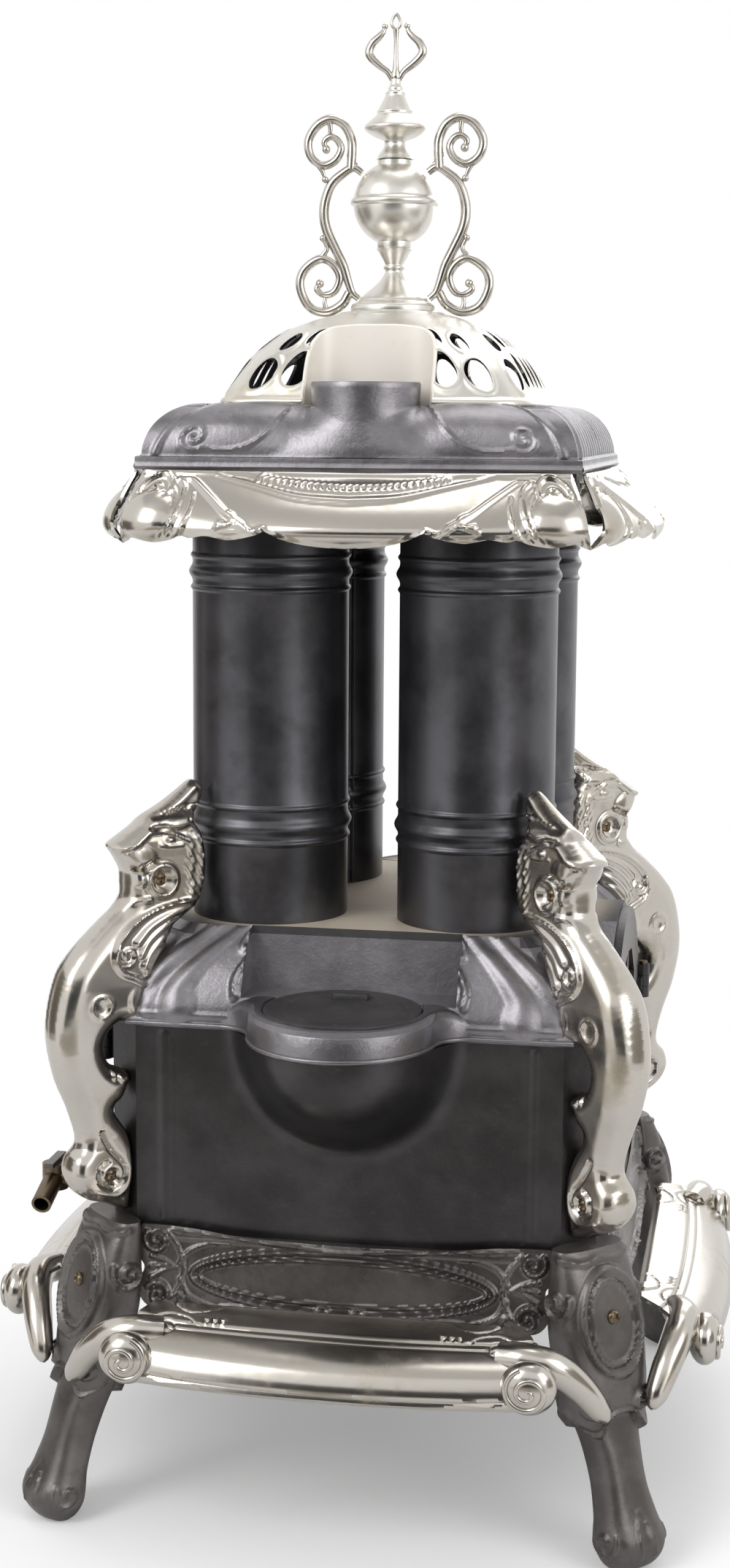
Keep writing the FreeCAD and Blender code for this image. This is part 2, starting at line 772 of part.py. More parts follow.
def latch_shape():
    face = door_back - s.door_wall - s.pin_clearance
    points = [
        Vector(a * s.latch_knob_radius, face - b * s.latch_knob_length, 0) for a, b in LATCH_PROFILE_SHARES
    ]
    rim = [Vector(0, points[-1].y, 0), Vector(0, points[0].y, 0)]
    edges = [spline_edge(points)]
    tail = [points[-1]] + rim + [points[0]]
    edges += [Part.makeLine(a, b) for a, b in zip(tail, tail[1:])]
    knob = closed_face(edges).revolve(Vector(), Vector(0, 1, 0), 360.0)
    inner = -s.body_half + s.panel_wall + s.latch_play
    back = inner + s.latch_tongue_thick
    spindle = cylinder(s.latch_spindle, Vector(0, face, 0), Vector(0, back, 0))
    tongue = box(
        Vector(-s.latch_tongue_half, inner, -s.latch_tongue_half),
        Vector(s.latch_tongue_half, back, s.latch_tongue_length),
    )
    latch = knob.fuse(spindle).fuse(tongue).removeSplitter()
    return latch.translated(Vector(-s.latch_across, 0, s.latch_height))


door = door_shape()
mica = mica_shape()
latch = latch_shape()
for side in DOOR_SIDES:
    named("door_" + side, door, SIDES[side])
    named("mica_" + side, mica, SIDES[side])
    named("latch_knob_" + side, latch, SIDES[side])


# Shoulder: curved corners with three arched hoods, a deck plate and a round flue boot
SHOULDER_SHARES = [(0.0, 0.0), (0.26, 0.19), (0.58, 0.45), (0.86, 0.78), (1.0, 1.0)]


def shoulder_loft(inset, top_inset):
    rise = s.deck_height - s.rim_top
    rim_half = s.body_half + s.shoulder_lip
    sections = [octagon(rim_half - inset, corner - inset, s.body_top)]
    for up, inward in SHOULDER_SHARES:
        half = rim_half + inward * (s.deck_half - rim_half) - inset
        reach = corner + inward * (s.deck_corner - corner) - inset
        height = s.rim_top + up * (rise - top_inset)
        sections.append(octagon(half, reach, height))
    return Part.makeLoft(sections, True, True)


def hood_prism(half, crown, depth):
    """An arch on the near side, from the rim's face inwards."""
    face = arch_face(half, s.body_top, s.body_top + s.shoulder_wall, crown)
    face.translate(Vector(0, -s.body_half - s.shoulder_lip, 0))
    return face.extrude(Vector(0, depth, 0))


def niche_box(wall):
    return box(
        Vector(-s.niche_half - wall, -s.boot_forward - 2.0 * s.boot_radius, s.boot_top - wall),
        Vector(s.niche_half + wall, -s.niche_wall_at + wall, s.deck_height + s.cut_overrun),
    )


def shoulder_shape():
    outer = shoulder_loft(0.0, 0.0)
    inner = shoulder_loft(s.shoulder_wall, s.shoulder_wall)
    inner = inner.cut(niche_box(s.shoulder_wall))
    floor = Vector(0, -s.boot_forward, s.body_top)
    top = Vector(0, -s.boot_forward, s.boot_top)
    boot = cylinder(s.boot_radius, floor, top)
    outer = outer.cut(niche_box(0.0)).fuse(boot)
    hood_depth = s.body_half + s.shoulder_lip - s.drum_pitch_half - s.drum_radius + s.screw_clearance
    for side in DOOR_SIDES:
        hood = hood_prism(s.hood_half, s.hood_crown, hood_depth)
        outer = outer.fuse(hood.rotated(Vector(), UP, SIDES[side] * QUARTER))
    casting = outer.cut(inner)
    for side in DOOR_SIDES:
        mouth = hood_prism(s.door_opening_half, s.arch_opening_crown, hood_depth)
        casting = casting.cut(mouth.rotated(Vector(), UP, SIDES[side] * QUARTER))
    casting = casting.cut(cylinder(s.boot_bore, floor - Vector(0, 0, s.cut_overrun), top))
    seat = top - Vector(0, 0, s.lid_seat)
    casting = casting.cut(cylinder(s.lid_radius + s.screw_clearance, seat, top))
    for x in (s.drum_pitch_half, -s.drum_pitch_half):
        for y in (s.drum_pitch_half, -s.drum_pitch_half):
            foot = Vector(x, y, s.deck_height - s.cut_overrun)
            casting = casting.cut(cylinder(s.drum_port, foot, Vector(x, y, s.deck_height)))
    return casting.removeSplitter()


def deck_slab():
    """The layer of the shoulder that the deck plate takes up."""
    reach = s.body_half + s.shoulder_lip + s.cut_overrun
    return box(
        Vector(-reach, -reach, s.deck_height - s.shoulder_wall),
        Vector(reach, reach, s.deck_height + s.cut_overrun),
    )


def boot_block():
    """The block of the shoulder that the flue boot takes up, below the deck plate."""
    side = s.niche_half + s.shoulder_wall
    return box(
        Vector(-side, -s.boot_forward - 2.0 * s.boot_radius, s.body_top - s.cut_overrun),
        Vector(side, -s.niche_wall_at + s.shoulder_wall, s.deck_height - s.shoulder_wall),
    )


shoulder = shoulder_shape()
deck = deck_slab()
boot = boot_block()
named("shoulder_casting", shoulder.cut(deck).cut(boot).removeSplitter())
named("deck_plate", shoulder.common(deck).removeSplitter())
named("flue_boot", shoulder.common(boot).removeSplitter())


# Boot lid with a lifting lug near its back edge
def lid_shape():
    seat = s.boot_top - s.lid_seat + s.dome_gap
    foot = Vector(0, -s.boot_forward, seat)
    top = foot + Vector(0, 0, s.lid_thick)
    lug_low = top + Vector(-s.lid_lug_length / 2.0, s.lid_radius / 2.0, 0)
    lug = box(lug_low, lug_low + Vector(s.lid_lug_length, s.lid_lug_width, s.lid_lug_height))
    return cylinder(s.lid_radius, foot, top).fuse(lug).removeSplitter()


named("boot_lid", lid_shape())


# Griffin brackets, as shares of the reach past the corner and of the bracket's height
GRIFFIN_BACK_SHARES = [(0.0, 0.30), (0.20, 0.36), (0.31, 0.415), (0.17, 0.45), (0.02, 0.465)]
GRIFFIN_NAPE_SHARES = [
    (0.02, 0.493), (-0.14, 0.55), (-0.36, 0.606), (-0.60, 0.66), (-0.81, 0.697),
    (-1.02, 0.74), (-1.055, 0.80), (-1.01, 0.876), (-0.93, 0.914), (-1.03, 1.0),
]
GRIFFIN_BROW_SHARES = [(-1.03, 1.0), (-0.62, 0.955), (-0.15, 0.916), (0.18, 0.864)]
GRIFFIN_LIP_SHARES = [(0.18, 0.864), (-0.03, 0.80), (-0.01, 0.787)]
GRIFFIN_CHEST_SHARES = [
    (-0.01, 0.787), (0.03, 0.747), (0.31, 0.692), (0.66, 0.63), (0.88, 0.57), (1.0, 0.456),
    (0.91, 0.344), (0.75, 0.265), (0.65, 0.183), (0.76, 0.148), (0.79, 0.117),
    (0.66, 0.067), (0.46, 0.029), (0.22, 0.006),
]
GRIFFIN_FRONT_SHARES = [
    (0.0, 0.55), (0.06, 0.88), (0.12, 0.95), (0.19, 0.80), (0.26, 0.86), (0.42, 1.0), (0.54, 1.0),
    (0.64, 0.80), (0.74, 0.62), (0.80, 0.72), (0.88, 0.80), (0.93, 0.55), (1.0, 0.22),
]
# Screws low in the foot, in the chest and in the neck: reach, height and half width shares
GRIFFIN_SCREW_SHARES = [(0.46, 0.115, 0.95), (0.65, 0.518, 1.0), (-0.32, 0.78, 0.70)]


# Height shares at the base, the body top, the rim, the deck and the crest
BRACKET_LEVEL_SHARES = (0.0, 0.456, 0.489, 0.671, 1.0)
NECK_SHARE = 1.055


def bracket_level(share):
    """Height of a bracket share: each stretch follows the part of the body beside it."""
    levels = (s.base_top, s.body_top, s.rim_top, s.deck_height, s.deck_height + s.bracket_above)
    steps = list(zip(BRACKET_LEVEL_SHARES, levels))
    for (low, bottom), (high, top) in zip(steps, steps[1:]):
        if share <= high:
            break
    return bottom + (top - bottom) * (share - low) / (high - low)


def griffin_point(share):
    drum_edge = s.drum_pitch_half * math.sqrt(2) + s.drum_radius
    inward = (corner - drum_edge - s.bracket_clear) / NECK_SHARE
    reach = s.bracket_reach if share[0] > 0 else inward
    return Vector(corner + share[0] * reach, 0, bracket_level(share[1]))


def screw_seat(share):
    seat = griffin_point(share)
    seat.y = -share[2] * s.bracket_half + s.bracket_recess
    return seat


def griffin_shape():
    runs = [
        GRIFFIN_BACK_SHARES, GRIFFIN_NAPE_SHARES, GRIFFIN_BROW_SHARES,
        GRIFFIN_LIP_SHARES, GRIFFIN_CHEST_SHARES,
    ]
    splines = [spline_edge([griffin_point(share) for share in run]) for run in runs]
    foot = Vector(corner, 0, s.base_top)
    step = [griffin_point(GRIFFIN_BACK_SHARES[-1]), griffin_point(GRIFFIN_NAPE_SHARES[0])]
    tail = [griffin_point(GRIFFIN_CHEST_SHARES[-1]), foot, griffin_point(GRIFFIN_BACK_SHARES[0])]
    edges = splines + [Part.makeLine(a, b) for a, b in zip(tail, tail[1:])]
    edges.append(Part.makeLine(*step))
    front = mirrored_front(GRIFFIN_FRONT_SHARES, bracket_level, s.bracket_half)
    griffin = diagonal_solid(edges, front, s.bracket_half)
    for share in GRIFFIN_SCREW_SHARES:
        seat = screw_seat(share)
        griffin = griffin.cut(cylinder(screw_hole, seat, seat - Vector(0, s.cut_overrun, 0)))
    return on_corner(griffin)


griffin = griffin_shape()
for place, turn in CORNERS.items():
    named("griffin_" + place, griffin, turn)


# Round-headed screws of the brackets and of the legs
def screw_heads():
    heads = []
    for share in GRIFFIN_SCREW_SHARES:
        seat = screw_seat(share)
        heads.append(cylinder(s.bracket_screw_radius, seat, seat - Vector(0, s.bracket_screw_head, 0)))
    return [on_corner(head) for head in heads]


def leg_screw():
    seat = leg_screw_seat()
    return on_corner(cylinder(s.bracket_screw_radius, seat, seat + Vector(s.bracket_screw_head, 0, 0)))


heads = [head.rotated(Vector(), UP, turn * QUARTER) for turn in range(4) for head in screw_heads()]
named("bracket_screws", Part.Compound(heads))
leg_heads = [leg_screw().rotated(Vector(), UP, turn * QUARTER) for turn in range(4)]
named("leg_screws", Part.Compound(leg_heads))


# Drums: sheet tubes with two rolled beads
DRUM_PROFILE = [
    ("drum_radius - drum_wall", "deck_height"), ("drum_radius", "deck_height"),
    ("drum_radius", "drum_bead_low - drum_bead_width"), ("drum_radius + drum_bead", "drum_bead_low"),
    ("drum_radius", "drum_bead_low + drum_bead_width"),
    ("drum_radius", "drum_bead_high - drum_bead_width"), ("drum_radius + drum_bead", "drum_bead_high"),
    ("drum_radius", "drum_bead_high + drum_bead_width"),
    ("drum_radius", "drum_top"), ("drum_radius - drum_wall", "drum_top"),
]
for place, turn in CORNERS.items():
    drum = turned_body("drum_body_" + place, DRUM_PROFILE)
    kept("drum_" + place, drum, turn, Vector(s.drum_pitch_half, -s.drum_pitch_half, 0))


# Head plate that closes the drums below the top casting
def head_shape():
    low = Vector(-s.head_half, -s.head_half, s.drum_top)
    plate = box(low, Vector(s.head_half, s.head_half, s.drum_top + s.head_thick))
    for x in (s.drum_pitch_half, -s.drum_pitch_half):
        for y in (s.drum_pitch_half, -s.drum_pitch_half):
            foot = Vector(x, y, s.drum_top)
            plate = plate.cut(cylinder(s.drum_port, foot, foot + Vector(0, 0, s.head_thick)))
    return plate


named("drum_head", head_shape())


# Top casting: a pillow-sided cap with the flue collar on the near side
def pillow(half, low, high, flat_half):
    block = box(Vector(-half, -half, low), Vector(half, half, high))
    top_edges = [edge for edge in block.Edges if min(v.Z for v in edge.Vertexes) > (low + high) / 2.0]
    return block.makeFillet(half - flat_half, top_edges)


def crown_shape():
    low = s.head_top
    casting = box(
        Vector(-s.crown_half, -s.crown_half, low), Vector(s.crown_half, s.crown_half, low + s.crown_rim)
    )
    shoulder = s.crown_half - s.skirt_wall
    casting = casting.fuse(pillow(shoulder, low, s.crown_top, s.crown_flat_half))
    inside = s.crown_half - s.crown_wall - s.skirt_wall
    hollow = pillow(inside, low, s.crown_top - s.crown_wall, s.crown_flat_half)
    top = Vector(0, -s.flue_forward, s.flue_top)
    foot = top - Vector(0, 0, s.flue_depth)
    casting = casting.cut(hollow).fuse(cylinder(s.flue_radius, foot, top))
    # The bore ends on a small ledge of the near wall, which stops the pipe
    return casting.cut(cylinder(s.flue_radius - s.flue_wall, foot, top)).removeSplitter()


named("top_casting", crown_shape())


# Skirts: four bowed aprons of the top, with a scalloped lower edge
SKIRT_SHARES = [(0.0, 0.0, 0.06), (0.32, 0.58, 0.62), (0.66, 0.94, 0.95), (1.0, 1.0, 1.0)]


def skirt_section(drop, spread, bow):
    height = s.head_top - drop * s.skirt_drop
    half = s.skirt_top_half + spread * (s.skirt_bottom_half - s.skirt_top_half)
    out = s.crown_half + spread * (s.skirt_corner_out - s.crown_half)
    sag = bow * s.skirt_bow
    outer = Part.Arc(Vector(-half, -out, height), Vector(0, -out - sag, height), Vector(half, -out, height))
    back = out - s.skirt_wall
    inner = Part.Arc(
        Vector(half, -back, height), Vector(0, -back - sag, height), Vector(-half, -back, height)
    )
    right = Part.makeLine(Vector(half, -out, height), Vector(half, -back, height))
    left = Part.makeLine(Vector(-half, -back, height), Vector(-half, -out, height))
    return Part.Wire([outer.toShape(), right, inner.toShape(), left])


def skirt_shape():
    shell = Part.makeLoft([skirt_section(*share) for share in SKIRT_SHARES], True, False)
    low = s.skirt_bottom
    cusp = low + s.skirt_cusp_rise
    end = s.skirt_bottom_half
    third = (end - s.skirt_cusp) / 3.0
    cusps = [Vector(sign * s.skirt_cusp, 0, cusp) for sign in (-1, 1)]
    middle = Part.Arc(cusps[0], Vector(0, 0, low), cusps[1]).toShape()
    edges = [middle]
    for sign in (1, -1):
        start = Vector(sign * s.skirt_cusp, 0, cusp)
        mid = Vector(sign * (s.skirt_cusp + third), 0, low + s.skirt_cusp_rise / 3.0)
        lobe_end = Vector(sign * end, 0, low)
        edges.append(Part.Arc(start, mid, lobe_end).toShape())
        edges.append(Part.makeLine(lobe_end, Vector(sign * end, 0, low - s.cut_overrun)))
    edges.append(Part.makeLine(Vector(-end, 0, low - s.cut_overrun), Vector(end, 0, low - s.cut_overrun)))
    waste = closed_face(edges).extrude(Vector(0, -front_depth(), 0))
    return shell.cut(waste)


skirt = skirt_shape()
for place, turn in SIDES.items():
    named("skirt_" + place, skirt, turn)


# Dome: a pierced shell on a rounded square, with a niche round the flue
DOME_SHARES = [(0.0, 0.0), (0.32, 0.08), (0.62, 0.32), (0.86, 0.66), (1.0, 1.0)]
DOME_TOP_CORNER_SHARE = 0.8


def rounded_square(half, radius, height):
    radius = min(radius, half)
    inner = half - radius
    slant = radius * math.sqrt(0.5)
    edges = []
    for turn in range(4):
        start = Vector(inner, -half, height)
        bend = Vector(inner + slant, -inner - slant, height)
        finish = Vector(half, -inner, height)
        following = Vector(half, inner, height)
        piece = [Part.Arc(start, bend, finish).toShape()]
        if inner > Part.Vertex(0, 0, 0).Tolerance:
            piece.append(Part.makeLine(finish, following))
        edges += [edge.rotated(Vector(), UP, turn * QUARTER) for edge in piece]
    return Part.Wire(edges)


def dome_loft(inset, low):
    sections = []
    for up, inward in DOME_SHARES:
        half = s.dome_half + inward * (s.dome_top_half - s.dome_half)
        radius = s.dome_corner + inward * (s.dome_top_half * DOME_TOP_CORNER_SHARE - s.dome_corner)
        height = low + up * (s.dome_height - inset)
        sections.append(rounded_square(half - inset, radius - inset, height))
    return Part.makeLoft(sections, True, True)


# Leaf shaped openings of one side: across and up shares, long and short radius shares, lean in degrees
DOME_LIGHT_SHARES = [
    (0.30, 0.36, 1.5, 0.85, 35.0), (0.66, 0.34, 1.3, 0.75, -30.0), (0.40, 0.70, 1.1, 0.60, 20.0),
]


def dome_light(share, sign, low):
    across, up, long_share, short_share, lean = share
    ellipse = Part.Ellipse(Vector(), long_share * s.dome_light_radius, short_share * s.dome_light_radius)
    face = Part.Face(Part.Wire(ellipse.toShape()))
    face = face.rotated(Vector(), UP, sign * (QUARTER - lean)).rotated(Vector(), Vector(1, 0, 0), QUARTER)
    face.translate(Vector(sign * across * s.dome_half, -s.dome_top_half, low + up * s.dome_height))
    return face.extrude(Vector(0, -s.dome_half, 0))


def dome_shape():
    low = s.crown_top + s.dome_gap
    shaft_low = Vector(0, -s.flue_forward, low - s.cut_overrun)
    shaft_top = Vector(0, -s.flue_forward, low + s.dome_height - s.dome_wall)
    outer = dome_loft(0.0, low).cut(cylinder(s.dome_niche, shaft_low, shaft_top))
    inner = dome_loft(s.dome_wall, low)
    inner = inner.cut(cylinder(s.dome_niche + s.dome_wall, shaft_low, shaft_top + Vector(0, 0, s.dome_wall)))
    dome = outer.cut(inner)
    for turn in range(4):
        for share in DOME_LIGHT_SHARES:
            for sign in (1, -1):
                light = dome_light(share, sign, low).rotated(Vector(), UP, turn * QUARTER)
                dome = dome.cut(light)
    centre = Vector(0, 0, low)
    rod_hole = s.finial_rod_radius + s.rod_clearance
    return dome.cut(cylinder(rod_hole, centre, centre + Vector(0, 0, 2.0 * s.dome_height))).removeSplitter()


named("dome", dome_shape())


# Finial: turned pieces threaded on one rod above the dome
FOOT_SHARES = [
    (1.0, 0.0), (0.98, 0.10), (0.89, 0.30), (0.56, 0.50), (0.34, 0.64), (0.21, 0.88), (0.21, 1.0),
]
BALL_LOW_SHARES = [(0.21, 0.0), (0.40, 0.15), (0.52, 0.24), (0.86, 0.50), (0.98, 0.80), (1.0, 1.0)]
BALL_HIGH_SHARES = [(1.0, 0.0), (0.98, 0.16), (0.84, 0.42), (0.56, 0.66), (0.36, 0.80), (0.24, 1.0)]
VASE_SHARES = [
    (0.32, 0.0), (0.55, 0.14), (1.0, 0.24), (0.98, 0.34), (0.60, 0.55), (0.33, 0.78), (0.27, 1.0),
]

finial_foot_at = s.crown_top + s.dome_gap + s.dome_height
ball_at = finial_foot_at + s.finial_foot_height
seam_at = ball_at + s.finial_seam_height
vase_at = ball_at + s.finial_ball_height
crown_at = vase_at + s.finial_vase_height


def turned_shape(shares, radius, low, height):
    """A solid of revolution through a curve of radius and height shares, bored for the rod."""
    points = [Vector(a * radius, 0, low + b * height) for a, b in shares]
    bore = s.finial_rod_radius + s.rod_clearance
    rim = [points[-1], Vector(bore, 0, points[-1].z), Vector(bore, 0, low), points[0]]
    edges = [spline_edge(points)] + [Part.makeLine(a, b) for a, b in zip(rim, rim[1:])]
    return closed_face(edges).revolve(Vector(), UP, 360.0)


foot = turned_shape(FOOT_SHARES, s.finial_foot_radius, finial_foot_at, s.finial_foot_height)
named("finial_foot", foot)
ball_low = turned_shape(BALL_LOW_SHARES, s.finial_ball_radius, ball_at, s.finial_seam_height)
named("finial_ball_lower", ball_low)
ball_high = turned_shape(BALL_HIGH_SHARES, s.finial_ball_radius, seam_at, vase_at - seam_at)
named("finial_ball_upper", ball_high)
vase = turned_shape(VASE_SHARES, s.finial_disc_radius, vase_at, s.finial_vase_height)
named("finial_vase", vase)


# Lyre crown: two petals round a centre stem on a small neck
PETAL_OUTER_SHARES = [(0.10, 0.10), (0.62, 0.22), (1.0, 0.46), (0.80, 0.72), (0.28, 0.90), (0.0, 1.0)]
PETAL_INNER_SHARES = [(0.0, 0.80), (0.30, 0.72), (0.55, 0.50), (0.42, 0.32), (0.10, 0.24)]


def crown_piece():
    def place(share, sign):
        return Vector(sign * share[0] * s.finial_crown_half, 0, crown_at + share[1] * s.finial_crown_height)

    thick = Vector(0, s.finial_crown_thick, 0)
    stem_top = Vector(0, 0, crown_at + PETAL_INNER_SHARES[0][1] * s.finial_crown_height)
    neck_top = Vector(0, 0, crown_at + PETAL_INNER_SHARES[-1][1] * s.finial_crown_height)
    crown = cylinder(s.finial_neck_radius, Vector(0, 0, crown_at), neck_top)
    crown = crown.fuse(cylinder(s.finial_crown_thick / 2.0, neck_top, stem_top))
    for sign in (1, -1):
        outer = [place(share, sign) for share in PETAL_OUTER_SHARES]
        inner = [place(share, sign) for share in PETAL_INNER_SHARES]
        edges = [spline_edge(outer), Part.makeLine(outer[-1], inner[0]), spline_edge(inner)]
        edges.append(Part.makeLine(inner[-1], outer[0]))
        face = closed_face(edges)
        face.translate(-thick / 2.0)
        crown = crown.fuse(face.extrude(thick))
    bore = s.finial_rod_radius + s.rod_clearance
    seat = Vector(0, 0, crown_at + PETAL_OUTER_SHARES[0][1] * s.finial_crown_height)
    return crown.cut(cylinder(bore, Vector(0, 0, crown_at), seat)).removeSplitter()


named("finial_crown", crown_piece())


# Tie rod through the finial with its nut under the dome
def rod_shape():
    dome_top = finial_foot_at - s.dome_wall
    nut_low = Vector(0, 0, dome_top - s.rod_nut_height)
    top = Vector(0, 0, crown_at + PETAL_OUTER_SHARES[0][1] * s.finial_crown_height)
    nut = cylinder(s.rod_nut_radius, nut_low, Vector(0, 0, dome_top))
    return nut.fuse(cylinder(s.finial_rod_radius, nut_low, top))


named("finial_rod", rod_shape())


# Scroll handles: one S of square-edged bar on each side, as shares of reach and height
SCROLL_SHARES = [
    (0.30, 0.15), (0.42, 0.09), (0.62, 0.035), (0.86, 0.06), (1.0, 0.18), (0.90, 0.38), (0.76, 0.60),
    (0.82, 0.78), (0.90, 0.90), (0.72, 0.97), (0.50, 0.88), (0.37, 0.76), (0.27, 0.72),
]


def scroll_shape():
    centre = Part.BSplineCurve()
    centre.interpolate([
        Vector(a * s.scroll_reach, 0, finial_foot_at + b * s.scroll_height) for a, b in SCROLL_SHARES
    ])
    steps = 3 * len(SCROLL_SHARES)
    sides = {1: [], -1: []}
    for step in range(steps + 1):
        along = centre.FirstParameter + (centre.LastParameter - centre.FirstParameter) * step / steps
        normal = centre.tangent(along)[0].cross(Vector(0, 1, 0))
        for sign, rim in sides.items():
            rim.append(centre.value(along) + normal * (sign * s.scroll_bar))
    edges = [spline_edge(rim) for rim in sides.values()]
    for end in (0, -1):
        edges.append(Part.makeLine(sides[1][end], sides[-1][end]))
    face = closed_face(edges)
    face.translate(Vector(0, -s.scroll_bar, 0))
    bar = face.extrude(Vector(0, 2.0 * s.scroll_bar, 0))
    for turned in (foot, ball_low, ball_high):
        bar = bar.cut(turned)
    return max(bar.Solids, key=lambda solid: solid.Volume)


scroll = scroll_shape()
scrolls = [scroll, scroll.rotated(Vector(), UP, 2.0 * QUARTER)]
named("finial_scrolls", Part.Compound(scrolls))


# Gas line: cock with an open inlet stub, key, pipe and ring burner
line_end = Vector(-s.cock_out + s.cock_outlet, -s.gas_line_back, s.gas_line_height)
cock_centre = Vector(-s.cock_out, -s.gas_line_back, s.gas_line_height)
cock_low = cock_centre - Vector(0, 0, s.cock_height / 2.0)
cock_top = cock_centre + Vector(0, 0, s.cock_height / 2.0)
slope = math.radians(s.inlet_slope_deg)
inlet_heading = Vector(0, -math.cos(slope), -math.sin(slope))
inlet_end = cock_centre + inlet_heading * s.inlet_length
key_floor = cock_low + Vector(0, 0, s.cock_wall)


def cock_shape():
    body = cylinder(s.cock_radius, cock_low, cock_top)
    body = body.fuse(cylinder(s.inlet_radius, cock_centre, inlet_end))
    body = body.fuse(cylinder(s.inlet_radius, cock_centre, line_end))
    mouth = inlet_end - inlet_heading * (s.inlet_length - s.cock_radius)
    body = body.cut(cylinder(s.inlet_bore, mouth, inlet_end))
    return body.cut(cylinder(s.key_plug, key_floor, cock_top)).removeSplitter()


def key_shape():
    plug = cylinder(s.key_plug - s.pin_clearance, key_floor + Vector(0, 0, s.dome_gap), cock_top)
    cap_low = cock_top + Vector(0, 0, s.dome_gap)
    stem = cylinder(s.key_plug - s.pin_clearance, cock_top, cap_low)
    half = Vector(s.key_lever_width / 2.0, s.key_lever_length / 2.0, 0)
    lever = box(cap_low - half, cap_low + half + Vector(0, 0, s.key_lever_thick))
    return plug.fuse(stem).fuse(lever).removeSplitter()


def pipe_path(finish):
    turn_from = Vector(-s.pipe_bend, line_end.y, line_end.z)
    turn_to = Vector(0, line_end.y + s.pipe_bend, line_end.z)
    slant = s.pipe_bend * math.sqrt(0.5)
    middle = Vector(-s.pipe_bend + slant, line_end.y + s.pipe_bend - slant, line_end.z)
    return Part.Wire([
        Part.makeLine(line_end, turn_from),
        Part.Arc(turn_from, middle, turn_to).toShape(),
        Part.makeLine(turn_to, finish),
    ])


boss_face = Vector(0, -s.burner_ring_radius - s.burner_boss, s.gas_line_height)


def pipe_shape():
    ring = Part.Wire(Part.makeCircle(s.gas_pipe_radius, line_end, Vector(1, 0, 0)))
    return pipe_path(boss_face).makePipeShell([ring], True, True)


def burner_shape():
    centre = Vector(0, 0, s.gas_line_height)
    burner = Part.makeTorus(s.burner_ring_radius, s.burner_tube, centre, UP)
    burner = burner.fuse(cylinder(s.burner_tube, boss_face, boss_face + Vector(0, s.burner_boss, 0)))
    for turn in range(4):
        foot_place = Rotation(UP, turn * QUARTER).multVec(Vector(s.burner_ring_radius, 0, s.base_top))
        burner = burner.fuse(cylinder(s.burner_foot, foot_place, foot_place + Vector(0, 0, s.burner_tube)))
    return burner.removeSplitter()


named("gas_cock_body", cock_shape())
named("gas_cock_key", key_shape())
named("gas_pipe", pipe_shape())
named("burner", burner_shape())


# Checks before anything is written
doc.recompute()
for item in doc.Objects:
    if "Invalid" in item.State or "Error" in item.State:
        raise RuntimeError("failed object: " + item.Label)
for item in PARTS:
    if item.Shape.isNull() or not item.Shape.isValid():
        raise RuntimeError("bad shape: " + item.Label)

os.makedirs("parts", exist_ok=True)
for item in PARTS:
    item.Shape.exportStep("parts/" + item.Label + ".step")
    solids = len(item.Shape.Solids)
    print(item.Label, solids, round(item.Shape.Volume))
print("pieces", len(PARTS))
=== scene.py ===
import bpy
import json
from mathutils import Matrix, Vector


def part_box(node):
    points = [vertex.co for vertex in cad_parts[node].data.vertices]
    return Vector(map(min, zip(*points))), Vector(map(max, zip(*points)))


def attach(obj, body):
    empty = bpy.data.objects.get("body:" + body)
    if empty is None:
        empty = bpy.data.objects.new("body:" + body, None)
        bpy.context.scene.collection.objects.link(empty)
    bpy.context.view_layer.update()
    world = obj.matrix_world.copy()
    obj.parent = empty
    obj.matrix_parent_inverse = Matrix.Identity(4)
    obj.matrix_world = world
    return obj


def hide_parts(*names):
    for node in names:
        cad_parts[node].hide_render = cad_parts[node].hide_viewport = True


bl_info = {
    "name": "Gas Parlor Stove",
    "version": (1, 0, 0),
    "blender": (4, 5, 0),
    "location": "View3D > Sidebar > Stove",
    "description": "Dresses a gas parlor stove: black castings, steel drums and nickel trim",
    "category": "Object",
}

import json
import math

import bmesh
import bpy
import numpy as np
from mathutils import Matrix, Vector

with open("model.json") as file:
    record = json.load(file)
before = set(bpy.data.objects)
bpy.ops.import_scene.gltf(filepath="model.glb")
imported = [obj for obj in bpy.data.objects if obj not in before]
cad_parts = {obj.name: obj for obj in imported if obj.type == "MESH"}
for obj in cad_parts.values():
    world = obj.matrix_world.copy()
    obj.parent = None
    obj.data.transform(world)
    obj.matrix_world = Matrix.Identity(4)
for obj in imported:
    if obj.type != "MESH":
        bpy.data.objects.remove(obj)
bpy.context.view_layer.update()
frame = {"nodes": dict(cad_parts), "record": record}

# The modelling is in millimetres and is scaled once, when a piece is finished
MM = 0.001
SIDES = ("near", "right", "far", "left")
CORNERS = ("near_right", "far_right", "far_left", "near_left")
# Degrees about the stove's axis from one side to the next, and from the X axis to the near right corner
SIDE_TURN, CORNER_TURN = 90.0, -45.0
# Keeps a division clear of zero
TINY = 1e-9


def cad_box(node):
    """Lowest and highest corner of a CAD node, in millimetres."""
    low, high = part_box(node)
    return Vector(low) / MM, Vector(high) / MM


# Values: limits, easing and tables


def unit(values):
    """Values held between 0 and 1."""
    return np.clip(values, 0, 1)


def eased(share):
    """A share from 0 to 1 with soft ends."""
    return share**2 * (3 - 2 * share)


def blend_low(a, b, soft):
    """The smaller of two values, eased where they meet."""
    share = unit(0.5 + (b - a) / (2 * soft))
    return b + (a - b) * share - soft * share * (1 - share)


def read_rows(rows, at):
    """Reads a table of places and values, in between its rows too."""
    places, values = np.array(rows, float).T
    return np.interp(at, places, values)


def paced(line, share):
    """Coordinates along a line at an even pace, at shares of its length."""
    run = np.concatenate([[0], np.cumsum(np.hypot(*np.diff(line, axis=0).T))])
    return [np.interp(share, run / run[-1], column) for column in line.T]


